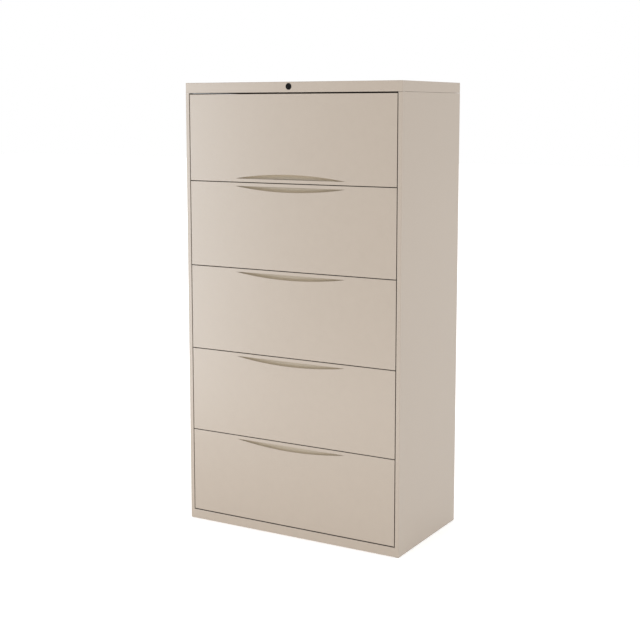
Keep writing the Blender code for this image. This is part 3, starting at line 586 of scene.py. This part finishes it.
def round_hole(bm, centre, radius, square):
    """Opens a round hole, looking along Y, in the face that a square round it cuts free."""
    for reach in (-square, square):
        slice_through(bm, (centre.x + reach, 0, 0), (1, 0, 0))
        slice_through(bm, (0, 0, centre.z + reach), (0, 0, 1))
    panel = min(bm.faces, key=lambda face: (face.calc_center_median() - centre).length)
    sides = panel.edges[:]
    bmesh.ops.delete(bm, geom=[panel], context="FACES_ONLY")
    divided = bmesh.ops.subdivide_edges(bm, edges=sides, cuts=HOLE_CUTS)["geom_split"]
    rim = [item for item in divided if isinstance(item, bmesh.types.BMEdge)]
    upright = Matrix.Translation(centre) @ Matrix.Rotation(math.pi / 2, 4, "X")
    circle = bmesh.ops.create_circle(
        bm, cap_ends=False, radius=radius, segments=4 * (HOLE_CUTS + 1), matrix=upright)
    ring = list({edge for vert in circle["verts"] for edge in vert.link_edges})
    bmesh.ops.bridge_loops(bm, edges=rim + ring)
    return bm

# %% Draw the lid
MOSTLY = 0.9
CAP_EDGE = 0.0022
LOCK_HOLE = 0.0098
HOLE_SQUARE = 0.0125
lock_low, lock_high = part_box("lock_housing")
LOCK_Z = (lock_low.z + lock_high.z) / 2

bm = bmesh.new()
bmesh.ops.create_cube(bm, size=1.0)
bmesh.ops.scale(bm, vec=cap_high - cap_low, verts=bm.verts)
bmesh.ops.translate(bm, vec=(cap_low + cap_high) / 2, verts=bm.verts)
open_side = [face for face in bm.faces if face.normal.z < -MOSTLY]
bmesh.ops.delete(bm, geom=open_side, context="FACES_ONLY")
edges = [edge for edge in bm.edges if len(edge.link_faces) == 2]
bmesh.ops.bevel(bm, geom=edges, offset=CAP_EDGE, affect="EDGES", segments=FOLD_STEPS,
                profile=0.5, material=-1)
round_hole(bm, Vector((0, FACE_Y, LOCK_Z)), LOCK_HOLE, HOLE_SQUARE)
print("lid of", len(bm.faces), "faces, lock at", round(LOCK_Z, 4))

# %% [markdown]
# The front wall's lower edge is hemmed: it runs back under the cap and turns up. The way back
# takes two steps, so that the first one, the wall of the gap over the door, has points of its
# own that can be given painted shade.

# %% Hem the lid
HEM_DEPTH = 0.014
HEM_RETURN = 0.006
HEM_STEPS = 4
TOUCH = 1e-5
SQUARE_FROM = math.radians(60)


def runs_across(edge):
    """True on an edge that lies along X."""
    return abs((edge.verts[1].co - edge.verts[0].co).normalized().x) > MOSTLY


hem = [edge for edge in bm.edges if edge.is_boundary and all(
    abs(vert.co.y - FACE_Y) < TOUCH and vert.co.z < CAP_BOTTOM + TOUCH for vert in edge.verts)]
for step in ((0, GAP_WALL, 0), (0, HEM_DEPTH - GAP_WALL, 0), (0, 0, HEM_RETURN)):
    swept = bmesh.ops.extrude_edge_only(bm, edges=hem)
    bmesh.ops.translate(bm, vec=step, verts=new_verts(swept))
    hem = [edge for edge in new_edges(swept) if edge.is_boundary and runs_across(edge)]
folds = [edge for edge in bm.edges if edge.calc_face_angle(0) > SQUARE_FROM]
bmesh.ops.bevel(bm, geom=folds, offset=FOLD_RADIUS, affect="EDGES", segments=HEM_STEPS,
                profile=0.5, material=-1)
bmesh.ops.recalc_face_normals(bm, faces=bm.faces)
thicken(bm, cabinet_middle)
within_x = HALF_WIDTH - CAP_EDGE + 10 * TOUCH
# Painted shade on the hem wall in the gap over the door.
mark_painted_shade(bm, lambda at: at.z < CAP_BOTTOM + 2 * SHELL_SHEET and at.y < 0 and
               abs(at.x) < within_x)
finish_piece("cap_skin", bm, putty_coat, "cabinet", "putty_paint", "top_cap", "header_channel")

# %% [markdown]
# ## A front with its arc pull
#
# The pull is pressed into the sheet: a straight lip above, an arc below, and a scoop between
# them that curls in and rises behind the lip so fingertips can hook on. Across its length the
# section keeps its shape and only shrinks, following a parabola to nothing at both tips.
#
# That makes it a loft. One line of stations runs across the front, and it is pushed along
# the section row by row: up the face, round the pressed edge, through the scoop, behind the
# lip, round its hem, and on up the face. Beyond the tips the section is nothing, so those
# rows fall on one line and merging the doubles makes plain sheet of them.

# %% The section of the pull
PULL_HALF = 0.234
PULL_HEIGHT = 0.0182
PULL_LIP = 0.0126
PULL_DEPTH = 0.0135
PULL_RISE = 0.0065
PULL_WAIST = 0.6
PULL_CORNER = 0.35
LIP_HEM = 0.0016
PRESSED_EDGE = 0.0011
TIP_SHARE = 0.3


def quarter(steps):
    """Angles from nothing to a right angle, without the first."""
    return [math.pi / 2 * step / steps for step in range(1, steps + 1)]


def pull_section(share):
    """The section as (depth behind the face, height over the lip's edge), from the arc up."""
    height, reach = PULL_HEIGHT * share, math.sqrt(share)
    depth, rise = PULL_DEPTH * reach, PULL_RISE * reach
    edge = min(PRESSED_EDGE, TIP_SHARE * height)
    hem = min(LIP_HEM, TIP_SHARE * depth)
    waist = PULL_WAIST * (height + rise)
    corner = PULL_CORNER * min(rise, depth)
    rows = [(0.0, -height - edge)]
    rows += [(edge * (1 - math.cos(a)), edge * math.sin(a) - height - edge)
             for a in quarter(4)]
    rows += [(edge + (depth - edge) * math.sin(a), waist * (1 - math.cos(a)) - height)
             for a in quarter(9)]
    rows += [(depth - corner * (1 - math.cos(a)), rise - corner * (1 - math.sin(a)))
             for a in quarter(4)]
    rows += [(hem, rise), (hem, hem / 2)]
    rows += [(hem / 2 * (1 + math.cos(2 * a)), hem / 2 * (1 - math.sin(2 * a)))
             for a in quarter(6)]
    return rows


print("pull section of", len(pull_section(1.0)), "rows")

# %% [markdown]
# The stations lie closer together towards the tips, where the lens turns fastest. Taking the
# sine of evenly spaced angles does that.

# %% Loft the face
STATIONS = 56
LOFT_MERGE = 2e-6


def loft_face(low, high, lip_above, lip_z):
    """The face of a front with its pull, open round its outline."""
    turn = 1 if lip_above else -1
    near, far = (low.z, high.z) if lip_above else (high.z, low.z)
    angles = [math.pi * (index / STATIONS - 0.5) for index in range(STATIONS + 1)]
    across = [low.x] + [PULL_HALF * math.sin(a) for a in angles] + [high.x]
    shares = [0.0] + [math.cos(a) ** 2 for a in angles] + [0.0]
    sections = [pull_section(share) for share in shares]
    bm = bmesh.new()
    row = [bm.verts.new((x, FACE_Y, near)) for x in across]
    edges = [bm.edges.new(pair) for pair in zip(row, row[1:])]
    for level in range(len(sections[0]) + 1):
        swept = bmesh.ops.extrude_edge_only(bm, edges=edges)
        edges, row = new_edges(swept), sorted(new_verts(swept), key=lambda vert: vert.co.x)
        for vert, x, section in zip(row, across, sections):
            last = level == len(section)
            depth, height = (0.0, 0.0) if last else section[level]
            vert.co = (x, FACE_Y + depth, far if last else lip_z + turn * height)
        edges = [edge for edge in edges if edge.verts[0] in row and edge.verts[1] in row]
    bmesh.ops.remove_doubles(bm, verts=bm.verts, dist=LOFT_MERGE)
    return bm

# %% [markdown]
# The outline of the face is swept back to make the walls of the front, in two steps so that
# the part in the gap can be given painted shade. The rear is closed with one face, and the
# corners that hands and eyes meet are rounded.

# %% Close a front
FRONT_EDGE = 0.0009


def is_outer_corner(edge, low, high):
    """True on the edges round the face and on the four that run back from its corners."""
    if edge.calc_face_angle(0) < SQUARE_FROM:
        return False
    sides = sum(all(abs(v.co.x - x) < TOUCH for v in edge.verts) for x in (low.x, high.x))
    ends = sum(all(abs(v.co.z - z) < TOUCH for v in edge.verts) for z in (low.z, high.z))
    on_face = all(abs(v.co.y - FACE_Y) < TOUCH for v in edge.verts)
    return sides + ends == 2 or (sides + ends == 1 and on_face)


def close_front(bm, low, high):
    """Walls, rear and rounded corners for the face of a front."""
    outline = [edge for edge in bm.edges if edge.is_boundary]
    for reach in (GAP_WALL, high.y - FACE_Y - GAP_WALL):
        walls = bmesh.ops.extrude_edge_only(bm, edges=outline)
        bmesh.ops.translate(bm, verts=new_verts(walls), vec=(0, reach, 0))
        outline = [edge for edge in new_edges(walls) if edge.is_boundary]
    rim = [edge for edge in bm.edges if edge.is_boundary]
    bmesh.ops.contextual_create(bm, geom=rim)
    bmesh.ops.recalc_face_normals(bm, faces=bm.faces)
    corners = [edge for edge in bm.edges if is_outer_corner(edge, low, high)]
    bmesh.ops.bevel(bm, geom=corners, offset=FRONT_EDGE, affect="EDGES", segments=FOLD_STEPS,
                    profile=0.5, material=-1)

# %% [markdown]
# Both painted marks are set here. The walls of the gaps and the space behind the lip get
# painted shade. The scoop gets painted bounce light, and more so the deeper it goes.

# %% Press a front
# Depth at which the painted bounce light of a scoop is full.
PAINTED_BOUNCE_FROM = 0.003
BEHIND_LIP = 0.3 * PULL_RISE
PAST_PULL = 1.1 * PULL_DEPTH


def press_front(low, high, lip_above):
    """A closed front with an arc pull whose lip lies along its top edge, or its bottom one."""
    turn = 1 if lip_above else -1
    lip_z = high.z - PULL_LIP if lip_above else low.z + PULL_LIP
    bm = loft_face(low, high, lip_above, lip_z)
    close_front(bm, low, high)
    ease = Vector((FRONT_EDGE,) * 3)
    inner_low, inner_high = low + ease, high - ease

    def hidden(at):
        """True on the walls of the gaps and behind the lip."""
        if not (inner_low.x < at.x < inner_high.x and inner_low.z < at.z < inner_high.z):
            return True
        behind = turn * (at.z - lip_z) > BEHIND_LIP
        return behind and FACE_Y + LIP_HEM < at.y < FACE_Y + PAST_PULL

    # Painted shade on the walls of the gaps and behind the lip.
    mark_painted_shade(bm, hidden)
    # Painted bounce light in the scoop, stronger with depth.
    layer = bm.verts.layers.float.new("painted_bounce")
    for vert in bm.verts:
        depth = vert.co.y - FACE_Y
        scooped = abs(vert.co.x) < PULL_HALF and 0 < depth < PAST_PULL and not hidden(vert.co)
        vert[layer] = min(1.0, depth / PAINTED_BOUNCE_FROM) if scooped else 0.0
    return bm

# %% [markdown]
# ## Five fronts
#
# The door and the four drawers use one tool. The drawers have their lip along the top edge.
# The door swings up, so its pull is turned over, and the two pulls at the first gap face
# each other like a pair of lips.

# %% Press the door and the drawers
low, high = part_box("door_front")
high.z -= END_GAP_EASE
finish_piece("door_skin", press_front(low, high, False), putty_coat,
             "flip_door", "putty_paint", "door_front")
for number in range(1, 5):
    low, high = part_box(f"drawer_{number}_front")
    finish_piece(f"drawer_{number}_skin", press_front(low, high, True), putty_coat,
                 f"drawer_{number}", "putty_paint", f"drawer_{number}_front")

# %% [markdown]
# ## The trays behind the fronts
#
# Each drawer is a tray of thinner sheet. One strip makes floor and sides: its rims roll
# outwards so folders slide over a smooth edge, and two beads pressed along the floor stop it
# drumming. The back is a second sheet, and an inner front covers the rear of the pressed one.
# A bead is a small trapezoid in the path; folding rounds its corners like the others.

# %% Fold the trays
TRAY_SHEET = 0.001
TRAY_HALF = 0.4289
TRAY_RIM = 0.005
TRAY_LIFT = 0.014
TRAY_HEIGHT = 0.24
INNER_FRONT_HALF = 0.434
SHORT_FLANGE = 0.006
BEAD_X, BEAD_HALF, BEAD_HEIGHT = 0.15, 0.009, 0.003
inner_front_y, tray_back_y = (corner.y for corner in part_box("drawer_1_tray"))


def join_sheet(bm, sheet):
    """Moves the faces of one bmesh into another."""
    carried = bpy.data.meshes.new("carried")
    sheet.to_mesh(carried)
    sheet.free()
    bm.from_mesh(carried)
    bpy.data.meshes.remove(carried)


def tray_floor_z(number):
    """The height of a tray's floor, measured from its front."""
    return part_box(f"drawer_{number}_front")[0].z + TRAY_LIFT


def fold_tray(number):
    """Floor and sides in one strip, then the back, then the inner front."""
    inner_low, inner_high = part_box(f"drawer_{number}_tray")
    floor_z = tray_floor_z(number)
    rim_z = floor_z + TRAY_HEIGHT
    bead_near, bead_far = BEAD_X - BEAD_HALF, BEAD_X + BEAD_HALF
    right = [(bead_near, floor_z), (bead_near + BEAD_HEIGHT, floor_z + BEAD_HEIGHT),
             (bead_far - BEAD_HEIGHT, floor_z + BEAD_HEIGHT), (bead_far, floor_z),
             (TRAY_HALF, floor_z), (TRAY_HALF, rim_z), (TRAY_HALF + TRAY_RIM, rim_z),
             (TRAY_HALF + TRAY_RIM, rim_z - TRAY_RIM)]
    outline = [(-x, z) for x, z in reversed(right)] + right
    start_y = inner_front_y + TRAY_SHEET
    bm = fold_sheet([(x, start_y, z) for x, z in outline], (0, tray_back_y - start_y, 0))
    thicken(bm, (0, 0, rim_z), TRAY_SHEET)
    half = TRAY_HALF - TRAY_SHEET
    back = fold_sheet(
        [(-half, tray_back_y - SHORT_FLANGE, rim_z), (-half, tray_back_y, rim_z),
         (-half, tray_back_y, floor_z + TRAY_SHEET)], (2 * half, 0, 0))
    join_sheet(bm, thicken(back, (0, 0, rim_z), TRAY_SHEET))
    half, flange_y = INNER_FRONT_HALF, inner_front_y + SHORT_FLANGE
    cover = fold_sheet(
        [(-half, flange_y, inner_high.z), (-half, inner_front_y, inner_high.z),
         (-half, inner_front_y, inner_low.z), (-half, flange_y, inner_low.z)], (2 * half, 0, 0))
    join_sheet(bm, thicken(cover, (0, 0, rim_z), TRAY_SHEET))
    return bm


for number in range(1, 5):
    finish_piece(f"drawer_{number}_tray_skin", fold_tray(number), putty_inner,
                 f"drawer_{number}", "putty_paint", f"drawer_{number}_tray")

# %% [markdown]
# ## Rails on the trays
#
# The inner member of each slide is a narrow zinc channel riveted to the tray's side. It runs
# inside the middle member, so it only shows when the drawer is out. A rivet is a sphere
# pressed flat, half sunk in the web.

# %% Fold and rivet the rails
RAIL_REACH = 0.0075
RAIL_HEIGHT = 0.027
RAIL_SHEET = 0.0012
RAIL_BEND = 0.0008
RAIL_LIFT = 0.04
RAIL_AFTER_FRONT = 0.004
RAIL_LENGTH = 0.4
RIVET_RADIUS = 0.0036
RIVET_FLATNESS = 0.35
RIVET_SPOTS = (0.06, 0.5, 0.94)


def fold_rail(side, middle_z):
    """A channel that opens away from the tray, with three rivets in its web."""
    web, tip = side * TRAY_HALF, side * (TRAY_HALF + RAIL_REACH)
    top, bottom = middle_z + RAIL_HEIGHT / 2, middle_z - RAIL_HEIGHT / 2
    start = inner_front_y + RAIL_AFTER_FRONT
    bm = fold_sheet(
        [(tip, start, top), (web, start, top), (web, start, bottom), (tip, start, bottom)],
        (0, RAIL_LENGTH, 0), RAIL_BEND)
    thicken(bm, (tip, 0, middle_z), RAIL_SHEET)
    for spot in RIVET_SPOTS:
        head = bmesh.ops.create_uvsphere(
            bm, u_segments=20, v_segments=10, radius=RIVET_RADIUS)["verts"]
        bmesh.ops.scale(bm, vec=(RIVET_FLATNESS, 1, 1), verts=head)
        place = (web + side * RAIL_SHEET, start + spot * RAIL_LENGTH, middle_z)
        bmesh.ops.translate(bm, vec=place, verts=head)
    return bm


for number in range(1, 5):
    middle_z = tray_floor_z(number) + RAIL_LIFT
    for side, hand in ((-1, "left"), (1, "right")):
        finish_piece(f"drawer_{number}_rail_{hand}", fold_rail(side, middle_z), zinc_plate,
                     f"drawer_{number}", "zinc_steel")

# %% [markdown]
# ## The lock
#
# A cam lock is turned on a lathe, so its bezel is a profile spun round the lock's axis: a
# flat flange, a rolled shoulder and a dished face that drops to the plug. The plug turns in
# it, and its keyway is a slot: a small rectangle bridged to the plug's rim and pushed in.

# %% Turn the bezel
plug_low, plug_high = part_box("lock_plug")
BORE = 0.0073
BARREL_RADIUS = 0.0095
BEZEL_RADIUS = 0.0120
SEAT_GAP = 0.0001
BEZEL_STEPS, PLUG_STEPS = 64, 48


def lathe(profile, axis_point, axis, steps):
    """Spins a profile, given as 3-D points, once round an axis and closes the seam."""
    bm = bmesh.new()
    line = [bm.verts.new(point) for point in profile]
    edges = [bm.edges.new(pair) for pair in zip(line, line[1:])]
    bmesh.ops.spin(bm, geom=line + edges, cent=axis_point, axis=axis, dvec=(0, 0, 0),
                   angle=math.tau, steps=steps, use_merge=True, use_duplicate=False)
    bmesh.ops.remove_doubles(bm, verts=bm.verts, dist=MERGE)
    bmesh.ops.recalc_face_normals(bm, faces=bm.faces)
    return bm


lock_axis = Vector((0, 0, LOCK_Z))
bezel_front, bezel_back, barrel_back = lock_low.y, FACE_Y - SEAT_GAP, lock_high.y
bezel_profile = [
    (BORE, barrel_back), (BARREL_RADIUS, barrel_back), (BARREL_RADIUS, bezel_back),
    (BEZEL_RADIUS, bezel_back), (BEZEL_RADIUS, bezel_front + 0.0008),
    (0.0118, bezel_front + 0.0004), (0.0113, bezel_front + 0.0001),
    (0.0106, bezel_front), (0.0090, bezel_front), (0.0084, bezel_front + 0.0002),
    (0.0078, bezel_front + 0.0005), (BORE, bezel_front + 0.0006), (BORE, barrel_back),
]
bm = lathe([(r, y, LOCK_Z) for r, y in bezel_profile], lock_axis, (0, 1, 0), BEZEL_STEPS)
finish_piece("lock_bezel", bm, lock_black, "cabinet", "black_lock", "lock_housing")

# %% Plug with a keyway
KEYWAY_WIDTH, KEYWAY_HEIGHT, KEYWAY_DEPTH = 0.0015, 0.0068, 0.008
PLUG_EDGE = 0.0005
PLUG_SETBACK = 0.0002
plug_radius = plug_high.x
face_y = plug_low.y + PLUG_SETBACK

profile = [
    (plug_radius, plug_high.y), (plug_radius, face_y + PLUG_EDGE),
    (plug_radius - PLUG_EDGE / 3, face_y + PLUG_EDGE / 3), (plug_radius - PLUG_EDGE, face_y),
]
bm = lathe([(r, y, LOCK_Z) for r, y in profile], lock_axis, (0, 1, 0), PLUG_STEPS)
ends = [edge for edge in bm.edges if edge.is_boundary]
front_rim = [edge for edge in ends if abs(edge.verts[0].co.y - face_y) < MERGE]
rear_rim = [edge for edge in ends if edge not in front_rim]
bmesh.ops.contextual_create(bm, geom=rear_rim)
slot_place = Matrix.Translation((0, face_y, LOCK_Z)) @ Matrix.Rotation(math.pi / 2, 4, "X")
slot = bmesh.ops.create_grid(
    bm, x_segments=1, y_segments=1, size=0.5, matrix=slot_place)["verts"]
bmesh.ops.scale(bm, vec=(KEYWAY_WIDTH, 1, KEYWAY_HEIGHT), verts=slot,
                space=Matrix.Translation((0, 0, -LOCK_Z)))
floor = next(face for face in slot[0].link_faces if all(vert in slot for vert in face.verts))
slot_rim = floor.edges[:]
bmesh.ops.delete(bm, geom=[floor], context="FACES_ONLY")
bmesh.ops.bridge_loops(bm, edges=front_rim + slot_rim)
pushed = bmesh.ops.extrude_edge_only(bm, edges=slot_rim)
bmesh.ops.translate(bm, vec=(0, KEYWAY_DEPTH, 0), verts=new_verts(pushed))
bmesh.ops.contextual_create(bm, geom=new_edges(pushed))
bmesh.ops.remove_doubles(bm, verts=bm.verts, dist=MERGE)
bmesh.ops.recalc_face_normals(bm, faces=bm.faces)
finish_piece("lock_plug_face", bm, lock_black, "lock_cylinder", "black_lock", "lock_plug")

# %% [markdown]
# ## The levelling glides
#
# Four feet carry the cabinet: a turned foot, a hexagon for the spanner and a threaded stem.
# The foot and the stem are lathe work again. The thread is drawn as rings: at this pitch a
# true helix looks the same, and it would leave two ends to be closed by hand.

# %% Turn the glides
FOOT_PROFILE = (
    (0.0, 0.0), (0.0146, 0.0), (0.0156, 0.0003), (0.0160, 0.0011), (0.0157, 0.0020),
    (0.0118, 0.0055), (0.0110, 0.0059), (0.0100, 0.0060), (0.0, 0.0060))
HEX_RADIUS = 0.0085
HEX_BOTTOM, HEX_TOP = 0.0058, 0.0120
HEX_CHAMFER = 0.0006
THREAD_ROOT, THREAD_CREST, THREAD_PITCH = 0.0034, 0.0040, 0.00125
FOOT_STEPS, STEM_STEPS = 48, 20


def turn_glide(centre, stem_top):
    """Foot, threaded stem and hexagon as one mesh."""
    turns = int((stem_top - HEX_TOP) / THREAD_PITCH)
    stem = [(0.0, HEX_TOP - HEX_CHAMFER)]
    for turn in range(turns):
        z = HEX_TOP - HEX_CHAMFER + turn * THREAD_PITCH
        stem += [(THREAD_ROOT, z), (THREAD_CREST, z + THREAD_PITCH / 2)]
    stem += [(THREAD_ROOT, stem_top - HEX_CHAMFER), (THREAD_ROOT - HEX_CHAMFER, stem_top),
             (0.0, stem_top)]
    upright = (0, 0, 1)
    foot = [(centre.x + r, centre.y, z) for r, z in FOOT_PROFILE]
    stem = [(centre.x + r, centre.y, z) for r, z in stem]
    bm = lathe(foot, centre, upright, FOOT_STEPS)
    join_sheet(bm, lathe(stem, centre, upright, STEM_STEPS))
    hexagon = bmesh.new()
    hex_middle = Matrix.Translation((centre.x, centre.y, (HEX_TOP + HEX_BOTTOM) / 2))
    bmesh.ops.create_cone(
        hexagon, cap_ends=True, segments=6, radius1=HEX_RADIUS, radius2=HEX_RADIUS,
        depth=HEX_TOP - HEX_BOTTOM, matrix=hex_middle)
    bmesh.ops.bevel(hexagon, geom=hexagon.edges[:], offset=HEX_CHAMFER, affect="EDGES", segments=2,
                    profile=0.5, material=-1)
    join_sheet(bm, hexagon)
    return bm


for corner in ("front_left", "front_right", "rear_left", "rear_right"):
    low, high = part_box(f"glide_{corner}")
    centre = Vector(((low.x + high.x) / 2, (low.y + high.y) / 2, 0))
    finish_piece(f"glide_{corner}_turned", turn_glide(centre, high.z), turned_steel,
                 f"glide_{corner}", "glide_steel", f"glide_{corner}")

# %% [markdown]
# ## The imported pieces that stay
#
# The slides, tracks, uprights, bars and the shelf already have their true shapes, so they
# only need their finish. The inside of the cabinet is painted like the outside but a little
# duller, and what runs, rolls or carries weight is zinc plated or left as mill steel.

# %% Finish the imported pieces
FINISH_BY_SLOT = {
    "putty_paint": putty_inner,
    "zinc_steel": zinc_plate,
    "glide_steel": turned_steel,
    "raw_steel": mill_scale,
    "black_lock": lock_black,
}
slots = {row["node"]: row["material_slot"] for row in frame["record"]["subparts"]}
for node, obj in frame["nodes"].items():
    obj.data.materials.clear()
    obj.data.materials.append(FINISH_BY_SLOT[slots[node]])
print(len(frame["nodes"]), "packed pieces finished")

# %% [markdown]
# ## The room
#
# The cabinet stands on a plain pale floor. The floor gives off a little light of its own, so
# it stays white right up to the cabinet and keeps only a faint shadow.

# %% Lay the floor
FLOOR_REACH = 30
FLOOR_WHITE = (0.97, 0.97, 0.97, 1)
FLOOR_ROUGHNESS = 0.9
FLOOR_GLOW = 0.32
WHITE = (1, 1, 1, 1)

bm = bmesh.new()
bmesh.ops.create_grid(bm, x_segments=1, y_segments=1, size=FLOOR_REACH)
floor_mesh = bpy.data.meshes.new("floor")
bm.to_mesh(floor_mesh)
bm.free()
floor = bpy.data.objects.new("floor", floor_mesh)
bpy.context.scene.collection.objects.link(floor)
pale, tree, shader = start_finish("pale_floor")
shader.inputs["Base Color"].default_value = FLOOR_WHITE
shader.inputs["Roughness"].default_value = FLOOR_ROUGHNESS
shader.inputs["Emission Color"].default_value = WHITE
shader.inputs["Emission Strength"].default_value = FLOOR_GLOW
floor_mesh.materials.append(pale)
print("floor of", 2 * FLOOR_REACH, "m")

# %% [markdown]
# ## The light
#
# The sky is an even white, so every side gets light. Three soft lamps shape it. A broad key
# lamp from the left lifts the fronts a little more than the side. A low, wide one close to
# the floor keeps the bottom drawer and the kick rail from sinking into shade. The third gives
# only gloss: it lays the cool sheen that a satin paint shows on the left of each front, and
# its diffuse light is turned off so that it doesn't wash out the colour.

# %% Sky and lamps
world = bpy.data.worlds.new("studio_sky")
world.use_nodes = True
sky = world.node_tree.nodes["Background"].inputs
sky["Color"].default_value = WHITE
sky["Strength"].default_value = 1.0
bpy.context.scene.world = world


def soft_lamp(name, place, aim, size, power, colour=(1, 1, 1)):
    """A rectangular lamp at a place, turned to look at its aim."""
    data = bpy.data.lights.new(name, "AREA")
    data.shape, data.energy, data.color = "RECTANGLE", power, colour
    data.size, data.size_y = size
    lamp = bpy.data.objects.new(name, data)
    lamp.location = place
    lamp.rotation_mode = "QUATERNION"
    lamp.rotation_quaternion = (Vector(aim) - Vector(place)).to_track_quat("-Z", "Y")
    bpy.context.scene.collection.objects.link(lamp)
    return lamp


soft_lamp("key_lamp", place=(-3.4, -4.0, 2.2), aim=(-0.4, 0, 0.9), size=(2.4, 2.4), power=11)
soft_lamp("low_lamp", place=(-0.5, -1.6, 0.17), aim=(0.0, -0.24, 0.06), size=(2.0, 0.30),
          power=3.2)
sheen = soft_lamp("sheen_lamp", place=(-1.9, -1.7, 0.75), aim=(-0.45, 0, 0.75),
                  size=(0.9, 2.8), power=46, colour=(0.84, 0.93, 1.0))
sheen.visible_diffuse = False
print("lamps", [light.name for light in bpy.data.lights])

# %% [markdown]
# ## The camera
#
# The camera stands at about eye height, a little to the right of the cabinet, with a long
# lens that keeps the uprights nearly parallel. A level camera with a large shift of the lens
# would keep them exactly so, but the shift would also cut the cap off from other sides. So
# the camera looks down by seven and a half degrees and needs only a small shift.

# %% Place the camera
CAMERA_PLACE = (2.3546, -4.0849, 1.6)
CAMERA_TURN = math.radians(30.064)
CAMERA_TILT = math.radians(-7.5)
SENSOR_WIDTH = 36.0
LENS_LENGTH = 69.494
LENS_SHIFT = -0.0738

camera_data = bpy.data.cameras.new("camera")
camera_data.sensor_width = SENSOR_WIDTH
camera_data.lens = LENS_LENGTH
camera_data.shift_y = LENS_SHIFT
camera = bpy.data.objects.new("camera", camera_data)
camera.location = CAMERA_PLACE
camera.rotation_euler = (math.pi / 2 + CAMERA_TILT, 0, CAMERA_TURN)
bpy.context.scene.collection.objects.link(camera)
bpy.context.scene.camera = camera
bpy.context.scene.view_settings.view_transform = "Standard"
print("camera at", CAMERA_PLACE, "with a lens of", LENS_LENGTH, "mm")
